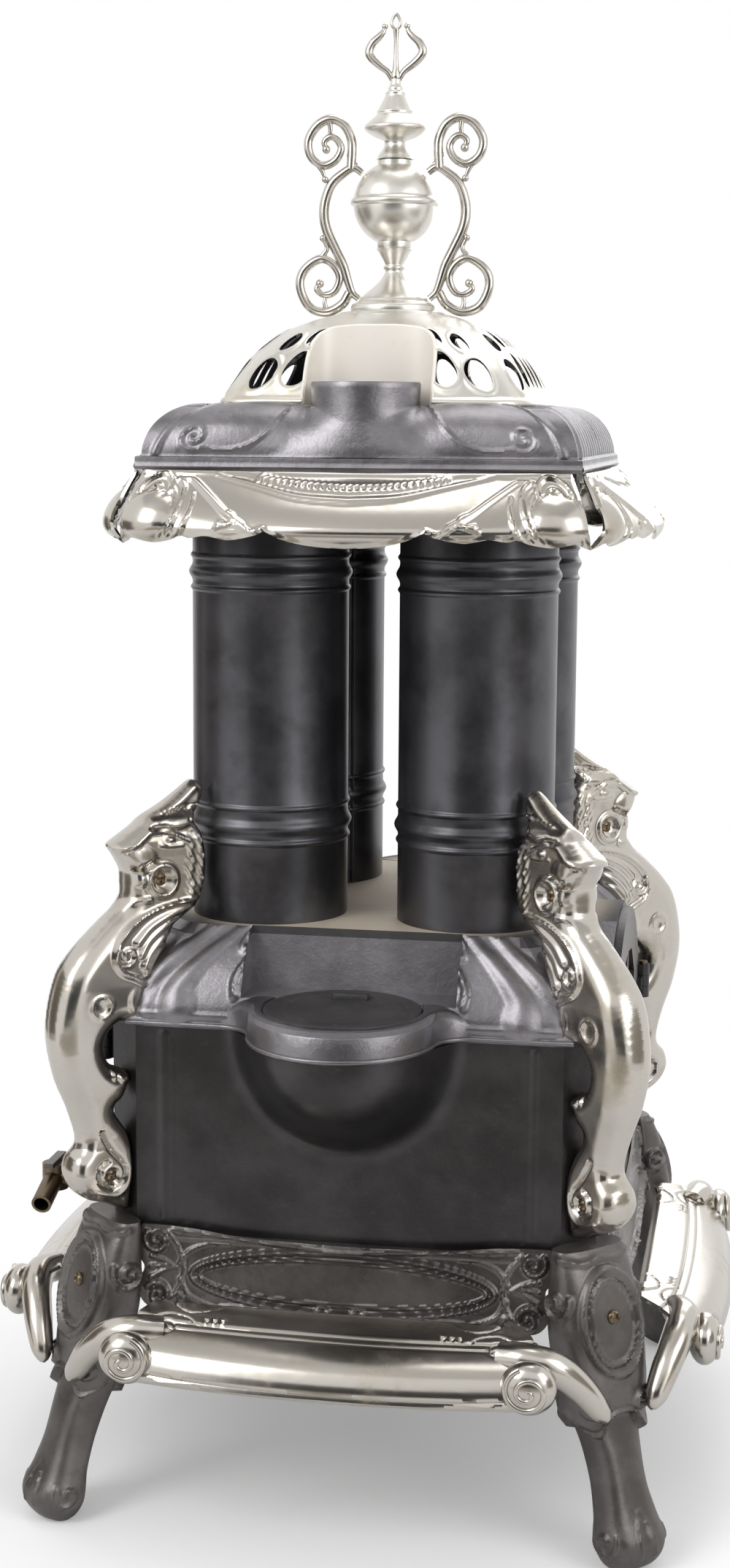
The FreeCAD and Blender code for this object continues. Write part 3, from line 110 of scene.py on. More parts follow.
# Flat drawing: lines, volutes and the relief that they raise


def through(points, per_span=10):
    """A smooth line through given points."""
    line = np.array(points, float)
    ends = np.vstack([2 * line[0] - line[1], line, 2 * line[-1] - line[-2]])
    share = np.linspace(0, 1, per_span, endpoint=False)[:, None]
    spans = []
    for a, b, c, d in zip(ends, ends[1:], ends[2:], ends[3:]):
        bend = 2 * b + (c - a) * share + (2 * a - 5 * b + 4 * c - d) * share**2
        spans.append((bend + (3 * b - a - 3 * c + d) * share**3) / 2)
    return np.vstack(spans + [line[-1:]])


def volute(eye, start, turns, hand=1, inner=0.12, steps=44):
    """A scroll line that starts at a point and winds into its eye."""
    eye = np.array(eye, float)
    arm = np.array(start, float) - eye
    share = np.linspace(0, 1, steps)
    angle = math.atan2(arm[1], arm[0]) + hand * turns * math.tau * share
    radius = np.hypot(*arm) * (1 - (1 - inner) * share)
    return eye + np.stack([radius * np.cos(angle), radius * np.sin(angle)], 1)


def oval(centre, half_wide, half_tall, steps=48):
    """A closed oval line."""
    angle = np.linspace(0, math.tau, steps + 1)
    return np.stack([centre[0] + half_wide * np.cos(angle), centre[1] + half_tall * np.sin(angle)], 1)


def flipped(line):
    """The same line on the other side of the middle."""
    return np.array(line) * (-1, 1)


def mirrored(edge):
    """An outline made of an edge and its image on the other side of the middle."""
    return np.vstack([edge, flipped(edge[::-1])])


def nearest(flat, line):
    """Distance to a line, how far along it that is as a share, and the nearest point."""
    best = np.full(len(flat), np.inf)
    along = np.zeros(len(flat))
    point = np.zeros_like(flat)
    steps = len(line) - 1
    for index, (a, b) in enumerate(zip(line, line[1:])):
        run = b - a
        share = unit(((flat - a) @ run) / max(run @ run, TINY))
        spot = a + share[:, None] * run
        reach = np.hypot(*(flat - spot).T)
        closer = reach < best
        best[closer] = reach[closer]
        along[closer] = (index + share[closer]) / steps
        point[closer] = spot[closer]
    return best, along, point


def within(flat, ring):
    """Which flat places lie inside a closed line."""
    inside = np.zeros(len(flat), bool)
    for a, b in zip(ring, np.roll(ring, -1, 0)):
        crosses = (a[1] > flat[:, 1]) != (b[1] > flat[:, 1])
        rise = b[1] - a[1] if b[1] != a[1] else TINY
        inside ^= crosses & (flat[:, 0] < a[0] + (flat[:, 1] - a[1]) * (b[0] - a[0]) / rise)
    return inside


class Relief:
    """Cast ornament on a flat drawing: rounded ridges, grooves and bosses, in millimetres."""

    # How much wider a ridge's eased foot is than its nominal width
    foot = 1.3
    # Powers that round the crown of a ridge and of a boss
    ridge_power, boss_power = 1.6, 0.75
    # How much of what lies under a ridge still lifts it
    under_share = 0.35
    # Keeps a taper clear of zero
    least_width = 1e-6

    def __init__(self, both=False):
        """With both, marks also stand on the other side of the middle, unless they say otherwise."""
        self.marks = []
        self.both = both

    def mark(self, kind, shape, width, rise, start=1.0, end=1.0, both=None):
        paired = self.both if both is None else both
        self.marks.append((kind, np.array(shape, float), width, rise, start, end, paired))

    def ridge(self, line, width, rise, start=1.0, end=1.0, both=None):
        """A ridge along a line, with its taper at the start and at the end."""
        self.mark("ridge", line, width, rise, start, end, both)

    def groove(self, line, width, depth, both=None):
        self.mark("groove", line, width, depth, both=both)

    def boss(self, centre, wide, tall, rise, lean=0.0, both=None):
        """An oval swelling, or a hollow where its rise is negative."""
        self.mark("boss", centre, (wide, tall, lean), rise, both=both)

    def line(self, points, *sizes, both=None):
        """A ridge along a smooth line through points."""
        self.ridge(through(points), *sizes, both=both)

    def cut(self, points, *sizes, both=None):
        """A groove along a smooth line through points."""
        self.groove(through(points), *sizes, both=both)

    def crown(self, arm, wide, tall, lean):
        """Height share of a boss at arms from its centre."""
        turn = math.radians(lean)
        across = arm[:, 0] * math.cos(turn) + arm[:, 1] * math.sin(turn)
        up = arm[:, 1] * math.cos(turn) - arm[:, 0] * math.sin(turn)
        return unit(1 - ((across / wide) ** 2 + (up / tall) ** 2)) ** self.boss_power

    def __call__(self, flat):
        """Height at flat spots. A mark on both sides is met at the mirrored spot."""
        height = np.zeros(len(flat))
        folded = np.stack([np.abs(flat[:, 0]), flat[:, 1]], 1)
        for kind, shape, width, rise, start, end, both in self.marks:
            spots = folded if both else flat
            if kind == "boss":
                height += rise * self.crown(spots - shape, *width)
                continue
            margin = self.foot * width
            close = np.all((spots > shape.min(0) - margin) & (spots < shape.max(0) + margin), 1)
            if not close.any():
                continue
            reach, along, _ = nearest(spots[close], shape)
            taper = start + (end - start) * along
            arch = unit(1 - (reach / (margin * taper + self.least_width)) ** 2)
            swell = arch**self.ridge_power * taper * rise
            if kind == "groove":
                height[close] -= swell
            else:
                height[close] = np.maximum(height[close], self.under_share * height[close] + swell)
        return height


# Meshes

# How far, in cells, the rim of an outline or a hole draws the cut edge of a sheet to itself
RIM_DRAW = 2.2
# Step over which a surface's slope is taken, and the shortest edge that a wall keeps
SLOPE_STEP, LEAST_EDGE = 0.05, 0.02
# Distance at which the points of a turned seam or pole become one
SEAM = 0.001


def sheet(across, up, cell, outline=None, holes=()):
    """A flat grid trimmed to an outline; its places on the drawing stay in x and y."""
    bm = bmesh.new()
    wide, tall = across[1] - across[0], up[1] - up[0]
    counts = max(2, round(wide / cell)), max(2, round(tall / cell))
    bmesh.ops.create_grid(bm, x_segments=counts[0], y_segments=counts[1], size=0.5)
    centre = Vector(((across[0] + across[1]) / 2, (up[0] + up[1]) / 2, 0))
    spread = Matrix.Translation(centre) @ Matrix.Diagonal((wide, tall, 1, 1))
    bmesh.ops.transform(bm, matrix=spread, verts=bm.verts)
    rims = ([outline] if outline is not None else []) + list(holes)
    if not rims:
        return bm
    middles = np.array([face.calc_center_median()[:2] for face in bm.faces])
    keep = within(middles, outline) if outline is not None else np.ones(len(middles), bool)
    for hole in holes:
        keep &= ~within(middles, hole)
    waste = [face for face, stays in zip(bm.faces, keep) if not stays]
    bmesh.ops.delete(bm, geom=waste, context="FACES")
    edge = [vert for vert in bm.verts if vert.is_boundary]
    flat = np.array([vert.co[:2] for vert in edge])
    best = np.full(len(edge), RIM_DRAW * cell)
    target = flat.copy()
    for rim in rims:
        reach, _, point = nearest(flat, np.vstack([rim, rim[:1]]))
        closer = reach < best
        best[closer] = reach[closer]
        target[closer] = point[closer]
    for vert, place in zip(edge, target):
        vert.co.x, vert.co.y = place
    return bm


def raised(bm, surface, relief=None, thick=0.0):
    """Lays a flat sheet on a surface, lifts its ornament and gives the wall its thickness."""
    flat = np.array([vert.co[:2] for vert in bm.verts])
    base = surface(flat[:, 0], flat[:, 1])
    along = surface(flat[:, 0] + SLOPE_STEP, flat[:, 1]) - base
    upward = surface(flat[:, 0], flat[:, 1] + SLOPE_STEP) - base
    normal = np.cross(along, upward)
    normal /= np.maximum(np.linalg.norm(normal, axis=1), TINY)[:, None]
    place = base + normal * (relief(flat)[:, None] if relief else 0.0)
    for vert, spot in zip(bm.verts, place):
        vert.co = spot
    if thick:
        bmesh.ops.dissolve_degenerate(bm, dist=LEAST_EDGE, edges=bm.edges)
        walled(bm, thick)
    return bm


def walled(bm, thick):
    """Gives a sheet its thickness."""
    bm.normal_update()
    bmesh.ops.solidify(bm, geom=bm.faces[:], thickness=thick)


def turned(bm, degrees):
    """Turns a mesh about the stove's axis."""
    turn = Matrix.Rotation(math.radians(degrees), 3, "Z")
    bmesh.ops.rotate(bm, cent=(0, 0, 0), matrix=turn, verts=bm.verts)
    return bm


def joined(target, *parts):
    """Adds other meshes to one and frees them."""
    for part in parts:
        mesh = bpy.data.meshes.new("joint")
        part.to_mesh(mesh)
        part.free()
        target.from_mesh(mesh)
        bpy.data.meshes.remove(mesh)
    return target


def stood(bm, place, facing):
    """Moves a mesh made about the Z axis to a place, where it faces another way."""
    turn = Vector((0, 0, 1)).rotation_difference(Vector(facing)).to_matrix().to_4x4()
    bmesh.ops.transform(bm, matrix=Matrix.Translation(Vector(place)) @ turn, verts=bm.verts)
    return bm


def lathe(bm, profile, centre=(0, 0, 0), axis=(0, 0, 1), steps=64):
    """Turns a profile of radii and heights about an axis through a centre."""
    made = bmesh.new()
    verts = [made.verts.new((radius, 0, height)) for radius, height in profile]
    edges = [made.edges.new(pair) for pair in zip(verts, verts[1:])]
    bmesh.ops.spin(
        made, geom=verts + edges, cent=(0, 0, 0), axis=(0, 0, 1), angle=math.tau, steps=steps,
        use_merge=True,
    )
    bmesh.ops.remove_doubles(made, verts=made.verts, dist=SEAM)
    bmesh.ops.recalc_face_normals(made, faces=made.faces)
    return joined(bm, stood(made, centre, axis))


def bar(bm, points, radii, sides=8):
    """A round bar along a line, its radius set point by point."""
    curve = bpy.data.curves.new("bar", "CURVE")
    curve.dimensions = "3D"
    curve.bevel_depth = 1.0
    curve.bevel_resolution = sides // 2 - 1
    curve.use_fill_caps = True
    spline = curve.splines.new("POLY")
    spline.points.add(len(points) - 1)
    for place, point, radius in zip(spline.points, points, radii):
        place.co = (*point, 1)
        place.radius = radius
    holder = bpy.data.objects.new("bar", curve)
    mesh = bpy.data.meshes.new_from_object(holder)
    bm.from_mesh(mesh)
    bpy.data.objects.remove(holder)
    bpy.data.curves.remove(curve)
    bpy.data.meshes.remove(mesh)
    return bm


def block(bm, low, high, bevel=1.5):
    """A cast block with eased edges."""
    low, high = Vector(low), Vector(high)
    made = bmesh.ops.create_cube(bm, size=1.0)["verts"]
    spread = Matrix.Translation((low + high) / 2) @ Matrix.Diagonal((*(high - low), 1))
    bmesh.ops.transform(bm, matrix=spread, verts=made)
    edges = list({edge for vert in made for edge in vert.link_edges})
    bmesh.ops.bevel(
        bm, geom=edges, offset=bevel, offset_type="OFFSET", affect="EDGES", segments=2, profile=0.5,
        material=-1,
    )
    return bm


def piece(name, bm, body, finish, turn=0.0, nodes=(), smooth=40.0, keep=False):
    """Makes an object of a mesh in millimetres, turned about the stove's axis, riding on a body."""
    mesh = bpy.data.meshes.new(name)
    bm.to_mesh(mesh)
    if not keep:
        bm.free()
    mesh.transform(Matrix.Rotation(math.radians(turn), 4, "Z") @ Matrix.Scale(MM, 4))
    mesh.materials.append(finishes()[finish])
    mesh.shade_smooth()
    mesh.set_sharp_from_angle(angle=math.radians(smooth))
    made = bpy.data.objects.new(name, mesh)
    bpy.context.scene.collection.objects.link(made)
    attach(made, body)
    if nodes:
        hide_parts(*nodes)
    return made


def set_round(places, name, node, bm, finish, start=0.0):
    """Sets one casting four times round the stove, each time in the place of a CAD node."""
    for step, place in enumerate(places):
        turn = start + SIDE_TURN * step
        piece(f"{name}_{place}", bm, "stove", finish, turn, [f"{node}_{place}"], keep=True)
    bm.free()


# Materials


class Socket:
    """A shader socket; arithmetic on it adds Math nodes."""

    def __init__(self, nodes, link):
        self.nodes = nodes
        self.link = link

    def maths(self, operation, *values):
        return self.nodes.node("ShaderNodeMath", {"operation": operation}, *values)

    def __add__(self, other):
        return self.maths("ADD", self, other)

    __radd__ = __add__

    def __mul__(self, other):
        return self.maths("MULTIPLY", self, other)

    __rmul__ = __mul__

    def either(self, other):
        """The larger of two values."""
        return self.maths("MAXIMUM", self, other)

    def between(self, low, high, to_low=0.0, to_high=1.0):
        """Eases a value between two limits from one result to another."""
        settings = {"interpolation_type": "SMOOTHSTEP"}
        return self.nodes.node("ShaderNodeMapRange", settings, self, low, high, to_low, to_high)


class Nodes:
    """Adds nodes to one tree."""

    def __init__(self, tree):
        self.tree = tree

    def node(self, kind, settings=None, *values, out=0, **named):
        made = self.tree.nodes.new(kind)
        for key, value in (settings or {}).items():
            setattr(made, key, value)
        wanted = list(zip(made.inputs, values))
        wanted += [(made.inputs[key.replace("_", " ")], value) for key, value in named.items()]
        for socket, value in wanted:
            self.feed(socket, value)
        return Socket(self, made.outputs[out])

    def feed(self, socket, value):
        """Links a socket, or sets it; None leaves it as it is."""
        if isinstance(value, Socket):
            self.tree.links.new(value.link, socket)
        elif value is not None:
            socket.default_value = value

    def ray(self, kind):
        return self.node("ShaderNodeLightPath", out=f"Is {kind} Ray")


class Paint(Nodes):
    """Builds one material's nodes round a Principled shader."""

    def __init__(self, name):
        self.material = bpy.data.materials.new(name)
        self.material.use_nodes = True
        super().__init__(self.material.node_tree)
        self.shader = self.tree.nodes["Principled BSDF"]

    def set(self, **sockets):
        for key, value in sockets.items():
            self.feed(self.shader.inputs[key.replace("_", " ")], value)
        return self

    def place(self):
        return self.node("ShaderNodeTexCoord", out="Object")

    def part(self, vector, axis):
        return self.node("ShaderNodeSeparateXYZ", None, vector, out=axis)

    def noise(self, scale, detail=4.0, rough=0.55, place=None):
        settings = {"noise_dimensions": "3D"}
        sizes = {"Scale": scale, "Detail": detail, "Roughness": rough}
        return self.node("ShaderNodeTexNoise", settings, Vector=place or self.place(), **sizes)

    def mix(self, factor, low, high):
        """Mixes two colours, each a link or red, green and blue."""
        colours = [(*tone, 1) if isinstance(tone, tuple) else tone for tone in (low, high)]
        # A Mix node's colours come after its five sockets for numbers and vectors
        others = [None] * 5
        return self.node("ShaderNodeMix", {"data_type": "RGBA"}, factor, *others, *colours, out=2)

    def bump(self, height, strength, distance):
        return self.node("ShaderNodeBump", None, Strength=strength, Distance=distance, Height=height)


def linear(colour):
    """Screen colour, 0 to 255, to the linear values that a shader takes."""
    return tuple(((c / 255) / 12.92 if c < 11 else ((c / 255 + 0.055) / 1.055) ** 2.4) for c in colour)


def shade(tone, share):
    """A tone times one share, or a share for each channel."""
    return tuple(float(channel) for channel in np.multiply(tone, share))


def nickel(name, tone, rough, metal=1.0):
    """Plating: bright, slightly wavy, with clouds of warm tarnish."""
    paint = Paint(name)
    cloud = paint.noise(scale=9.0, detail=3.0)
    fine = paint.noise(scale=60.0)
    wave = paint.noise(scale=38.0, detail=2.0)
    tarnish = (cloud * 0.7 + fine * 0.3).between(0.52, 0.72)
    warm = shade(tone, (0.84, 0.79, 0.70))
    paint.set(
        Base_Color=paint.mix(tarnish, tone, warm),
        Metallic=metal,
        Roughness=tarnish * 0.14 + (fine * 0.05 + rough),
        Normal=paint.bump(wave, strength=0.12, distance=0.0015),
    )
    return paint.material


def dusted_and_painted_lighter(paint, tint, dust_and_painted_light):
    """A tint with dust on what faces up, thinning out away from the stove's axis; the dust is made pale as
    painted light that lifts the shade on the deck between the drums.
    """
    facing = paint.part(paint.node("ShaderNodeNewGeometry", out="Normal"), "Z")
    x, y = (paint.part(paint.place(), axis) for axis in "XY")
    # Squared distance from the axis, in square metres
    inner = (x * x + y * y).between(0.040, 0.058, 1.0, 0.0)
    return paint.mix(facing.between(0.6, 0.95) * inner, tint, dust_and_painted_light)


def iron(name, tone, rough, metal, grain, worn=None, dust_and_painted_light=None):
    """Cast iron: sandy skin, rubbed tone and uneven gloss; dust lies on what faces up, pale enough to be
    painted light in the shade between the drums.
    """
    paint = Paint(name)
    cloud = paint.noise(scale=14.0, detail=5.0, rough=0.6)
    skin = paint.noise(scale=420.0, rough=0.65)
    pits = paint.noise(scale=150.0, detail=3.0, rough=0.5)
    rubbed = paint.mix(cloud.between(0.35, 0.70), shade(tone, 0.62), tone)
    bare = pits.between(0.62, 0.80) * (0.6 if worn else 0.25)
    tint = paint.mix(bare, rubbed, worn or shade(tone, 1.5))
    paint.set(
        Base_Color=dusted_and_painted_lighter(paint, tint, dust_and_painted_light) if dust_and_painted_light else tint,
        Metallic=metal,
        Roughness=cloud * 0.18 + (pits * 0.10 + rough),
        Normal=paint.bump(skin + pits * 1.6, strength=grain, distance=0.0012),
    )
    return paint.material


def sheet_steel(name, tone):
    """Rolled drum steel: smooth satin black with faint mottling and upright streaks."""
    paint = Paint(name)
    drawn = paint.node("ShaderNodeMapping", None, paint.place(), Scale=(1.0, 1.0, 0.12))
    streak = paint.noise(scale=70.0, rough=0.6, place=drawn)
    cloud = paint.noise(scale=11.0, detail=5.0, rough=0.6)
    paint.set(
        Base_Color=paint.mix(cloud.between(0.36, 0.62), shade(tone, 0.55), tone),
        Metallic=0.85,
        Roughness=cloud * 0.18 + (streak * 0.12 + 0.17),
        Normal=paint.bump(cloud * 2.0 + streak * 0.4, strength=0.10, distance=0.002),
    )
    return paint.material


def mica_glass(name, tone):
    """Mica: amber, half clear, with smoky flakes."""
    paint = Paint(name)
    flake = paint.noise(scale=30.0, detail=5.0, rough=0.65)
    paint.set(
        Base_Color=paint.mix(flake.between(0.4, 0.7), tone, shade(tone, 0.35)),
        Roughness=flake * 0.2 + 0.12,
        Alpha=flake.between(0.3, 0.8, 0.55, 0.9),
        Normal=paint.bump(flake, strength=0.15, distance=0.001),
    )
    return paint.material


def tone_property(name, description, colour):
    """A colour that a user can change, from its screen values."""
    return bpy.props.FloatVectorProperty(
        name=name, description=description, subtype="COLOR", default=linear(colour)
    )


class StoveFinishes(bpy.types.PropertyGroup):
    """Colours of the castings, the plated trim and the mica."""

    body: tone_property("Body iron", "Blacked castings of the body", (80, 78, 79))
    # Painted light: the legs' tone is a lighter copy of the body iron, lifted to make up for the dim light
    # on the legs
    leg: tone_property("Leg iron", "Matte black of the legs", (118, 114, 112))
    # Painted light: the aprons' tone is a lighter copy of the body iron, standing in for more light on them
    apron: tone_property("Apron iron", "Glossier black of the aprons", (116, 112, 110))
    burnished: tone_property("Burnished iron", "Shoulder and top castings", (148, 145, 149))
    lid: tone_property("Lid iron", "Scaled iron of the boot lid", (84, 82, 82))
    scale: tone_property("Lid scale", "Bare spots on the boot lid", (128, 118, 106))
    # The deck's dust is real, and its pale tone is painted light that lifts the shade between the drums
    dust_and_painted_light: tone_property("Dust", "Dust on the deck between the drums", (212, 199, 180))
    drum: tone_property("Drum steel", "Sheet steel of the drums", (90, 89, 93))
    nickel: tone_property("Nickel", "Plated trim", (196, 191, 183))
    champagne: tone_property("Dull nickel", "Softer plating of the dome", (222, 219, 212))
    # Painted light: the niche's wall is a pale, barely metallic copy of the nickel, standing in for its
    # bright reflection
    niche: tone_property("Satin nickel", "Wall behind the flue collar", (250, 244, 234))
    brass: tone_property("Aged brass", "Gas cock and screws", (120, 106, 88))
    mica: tone_property("Mica", "Sheets in the doors", (214, 168, 96))


class StoveSizes(bpy.types.PropertyGroup):
    """Sizes that set how fine the castings are, and the camera's tilt."""

    cell: bpy.props.FloatProperty(
        name="Cell", description="Mesh cell of the cast ornament in millimetres",
        default=1.6, min=0.8, max=6.0,
    )
    skirt_wall: bpy.props.FloatProperty(
        name="Skirt wall", description="Thickness of the nickel skirts in millimetres",
        default=3.0, min=1.0, max=6.0,
    )
    tilt: bpy.props.FloatProperty(
        name="View pitch", description="How far the camera looks down",
        subtype="ANGLE", default=math.radians(8.641),
    )


# Iron finishes: tone, roughness, metallic share and strength of the grain
IRONS = {
    "body_iron": ("body", 0.20, 0.85, 0.12),
    "leg_iron": ("leg", 0.22, 0.75, 0.15),
    "apron_iron": ("apron", 0.16, 0.8, 0.12),
    "pebbled_iron": ("burnished", 0.38, 0.45, 0.45),
    "polished_iron": ("burnished", 0.21, 0.9, 0.16),
    # The deck's iron: dust on what faces up, pale as painted light against the shade between the drums
    "dusty_painted_light_iron": ("body", 0.46, 0.2, 0.18),
    "lid_iron": ("lid", 0.40, 0.4, 0.30),
}
# Plated finishes: material, tone, roughness and metallic share
PLATINGS = {
    "nickel": ("nickel", "nickel", 0.18, 1.0),
    "dull_nickel": ("dull_nickel", "champagne", 0.29, 1.0),
    # Painted light: a pale nickel with little metal, in place of the niche wall's bright reflection
    "satin_nickel": ("satin_nickel", "niche", 0.42, 0.12),
    "steel": ("screw_steel", "brass", 0.30, 1.0),
    "aged_brass": ("aged_brass", "brass", 0.34, 1.0),
}
FINISH = {}


def finishes():
    """The stove's materials, made once."""
    if not FINISH:
        group = bpy.context.scene.stove_finishes
        tones = {key: tuple(getattr(group, key)) for key in StoveFinishes.__annotations__}
        extras = {"dusty_painted_light_iron": {"dust_and_painted_light": tones["dust_and_painted_light"]}, "lid_iron": {"worn": tones["scale"]}}
        for name, (tone, *gloss) in IRONS.items():
            FINISH[name] = iron(name, tones[tone], *gloss, **extras.get(name, {}))
        for finish, (name, tone, *gloss) in PLATINGS.items():
            FINISH[finish] = nickel(name, tones[tone], *gloss)
        FINISH["drum_steel"] = sheet_steel("drum_steel", tones["drum"])
        FINISH["mica"] = mica_glass("mica", tones["mica"])
    return FINISH


def cells(share=1.0):
    """Mesh cell of a casting, as a share of the one that the user sets."""
    return bpy.context.scene.stove_sizes.cell * share


class StoveOperator:
    """Shared options of the stove's operators."""

    bl_options = {"REGISTER", "UNDO"}


class STOVE_OT_castings(StoveOperator, bpy.types.Operator):
    """Give the plain castings that keep their CAD shape their finish"""

    bl_idname = "stove.castings"
    bl_label = "Plain castings"

    # Nodes whose finish differs from their slot's
    own = {"deck_plate": "dusty_painted_light_iron", "shoulder_casting": "pebbled_iron", "flue_boot": "pebbled_iron"}

    def execute(self, context):
        looks = finishes()
        slots = {row["node"]: row["material_slot"] for row in frame["record"]["subparts"]}
        for name, node in frame["nodes"].items():
            node.data.materials.clear()
            node.data.materials.append(looks[self.own.get(name, slots[name])])
        return {"FINISHED"}


# Drums


class STOVE_OT_drums(StoveOperator, bpy.types.Operator):
    """Turn the four sheet steel drums with their rolled beads"""

    bl_idname = "stove.drums"
    bl_label = "Drums"

    radius, wall = 76.2, 1.2
    # Beads by height; a bead has a lift and a half width
    slim, full = (2.0, 4.0), (3.6, 9.0)
    beads = ((649, slim), (664, full), (683, slim), (892, slim), (907, full), (923, slim))
    bead_points = 9
    seam_lift, seam_radius, seam_inset = 0.4, 1.6, 1.0

    def profile(self, low, high):
        rim = [(self.radius, low)]
        for height, (lift, half) in self.beads:
            for share in np.linspace(-1, 1, self.bead_points):
                swell = lift * (0.5 + 0.5 * math.cos(math.pi * share))
                rim.append((self.radius + swell, height + share * half))
        rim.append((self.radius, high))
        inner = self.radius - self.wall
        return rim + [(inner, high), (inner, low), rim[0]]

    def seam(self, bm, middle, low, high):
        """A lapped seam that runs up the side that faces the middle of the stove."""
        angle = math.atan2(-middle.y, -middle.x)
        reach = self.radius + self.seam_lift
        spot = (middle.x + reach * math.cos(angle), middle.y + reach * math.sin(angle))
        ends = [(*spot, low + self.seam_inset), (*spot, high - self.seam_inset)]
        bar(bm, ends, [self.seam_radius, self.seam_radius])

    def execute(self, context):
        for corner in CORNERS:
            node = "drum_" + corner
            low, high = cad_box(node)
            middle = (low + high) / 2
            bm = bmesh.new()
            lathe(bm, self.profile(low.z, high.z), (middle.x, middle.y, 0), steps=96)
            self.seam(bm, middle, low.z, high.z)
            piece(node + "_sheet", bm, "stove", "drum_steel", nodes=[node])
        return {"FINISHED"}


# Skirts


class STOVE_OT_skirts(StoveOperator, bpy.types.Operator):
    """Model the four nickel skirts with scrolls, garland and bossed corners"""

    bl_idname = "stove.skirts"
    bl_label = "Skirts"

    top, bottom = 1006.0, 939.0
    top_half, end = 199.0, 218.0
    top_out, corner_out = 209.0, 231.0
    # How far the middle bows out at the hem, and the share of that bow at the top
    bow, top_bow = 44.0, 0.06
    # How far the hem tucks in, from a share of the fall on
    tuck, tuck_from, tuck_run, longest_fall = 14.0, 0.72, 0.08, 1.2
    # Hem from the middle to the cusp and on to the corner: place across and rise over the bottom
    hem_middle = [(0, 0), (30, 2), (55, 7), (73, 14)]
    hem_lobe = [
        (73, 14), (84, 10), (108, 6), (130, 9), (146, 7), (156, 9), (166, 5), (186, 2), (204, 6),
        (211, 3), (218, 0),
    ]
    # Frame that sags under the garland, as places across and drops under the top
    frame_line = [(0, 26), (48, 23), (92, 14), (140, 4)]
    # Its two copies: lift, width and rise
    frame_copies = ((0, 3.2, 2.4), (7.5, 2.0, 1.3))
    # Crescents of the garland: count to each side, step, drop, sag and the reach where the sag ends
    crescents, crescent_step, garland_drop, garland_sag, garland_reach = 14, 6.6, 7.0, 8.0, 100.0
    # Ribbons round the ball of the corner and the sweep down to the cusp: line, width and rise
    ribbons = (
        ([(212, 62), (216, 40), (211, 18)], 2.6, 3.0),
        ([(175, 9), (166, 16), (163, 30), (165, 44), (170, 58)], 2.8, 3.2),
        ([(180, 14), (172, 22), (169, 34), (172, 48), (179, 60)], 2.0, 2.0),
        ([(154, 21), (151, 31), (152, 44), (157, 59)], 2.2, 2.6),
        ([(178, 9), (165, 8), (154, 13), (134, 25), (114, 38), (95, 48)], 2.8, 3.0),
        ([(95, 48), (86, 53), (75, 51)], 2.6, 2.8),
        ([(112, 37), (106, 40), (105, 45), (111, 48), (119, 47)], 2.4, 2.8),
        ([(122, 51), (104, 48), (90, 52), (78, 57)], 2.4, 2.4),
    )

    def surface(self, across, up):
        drop = np.clip((self.top - up) / (self.top - self.bottom), 0, self.longest_fall)
        spread = np.sin(np.minimum(drop, 1.0) * math.pi / 2)
        half = self.top_half + spread * (self.end - self.top_half)
        share = across / self.end
        out = self.top_out + spread * (self.corner_out - self.top_out)
        sag = (self.top_bow + (1 - self.top_bow) * spread) * self.bow * (1 - share**2)
        tuck = self.tuck * unit(drop - self.tuck_from) ** 2 / self.tuck_run
        return np.stack([share * half, -(out + sag - tuck), up], 1)

    def outline(self):
        hem = np.vstack([through(self.hem_middle), through(self.hem_lobe)[1:]]) + (0, self.bottom)
        return mirrored(np.vstack([hem, [(self.end, self.top)]]))

    def under_top(self, points, lift=0.0):
        """Places on the skirt, from places across and drops under the top."""
        return [(across, self.top - drop + lift) for across, drop in points]

    def garland(self, relief):
        for step in range(-self.crescents, self.crescents + 1):
            x = step * self.crescent_step
            z = self.top - self.garland_drop - self.garland_sag * (1 - (x / self.garland_reach) ** 2)
            relief.ridge(volute((x, z), (x + 3.4, z + 0.5), 0.55, 1, 0.8, 12), 1.8, 1.7, both=False)

    def ornament(self):
        relief = Relief(both=True)
        top = self.top
        relief.ridge([(-self.end, top - 2), (self.end, top - 2)], 3.0, 1.6, both=False)
        for lift, width, rise in self.frame_copies:
            relief.line(self.under_top(self.frame_line, lift), width, rise, 1.0, 0.6)
        self.garland(relief)
        # Corner: a ball under a volute, ribbons round it and the sweep down to the cusp
        relief.boss((195, top - 41), 26, 24, 8.5)
        relief.ridge(volute((193, top - 20), (211, top - 18), 1.55, 1, 0.13, 60), 2.6, 3.4, 1.0, 0.7)
        for line, width, rise in self.ribbons:
            relief.line(self.under_top(line), width, rise, 0.7, 1.0)
        relief.ridge(self.outline(), 2.2, 1.5, both=False)
        return relief

    def execute(self, context):
        wall = context.scene.stove_sizes.skirt_wall
        bm = sheet((-self.end, self.end), (self.bottom, self.top), cells(0.85), self.outline())
        raised(bm, self.surface, self.ornament(), wall)
        set_round(SIDES, "skirt_casting", "skirt", bm, "nickel")
        return {"FINISHED"}


# Finial


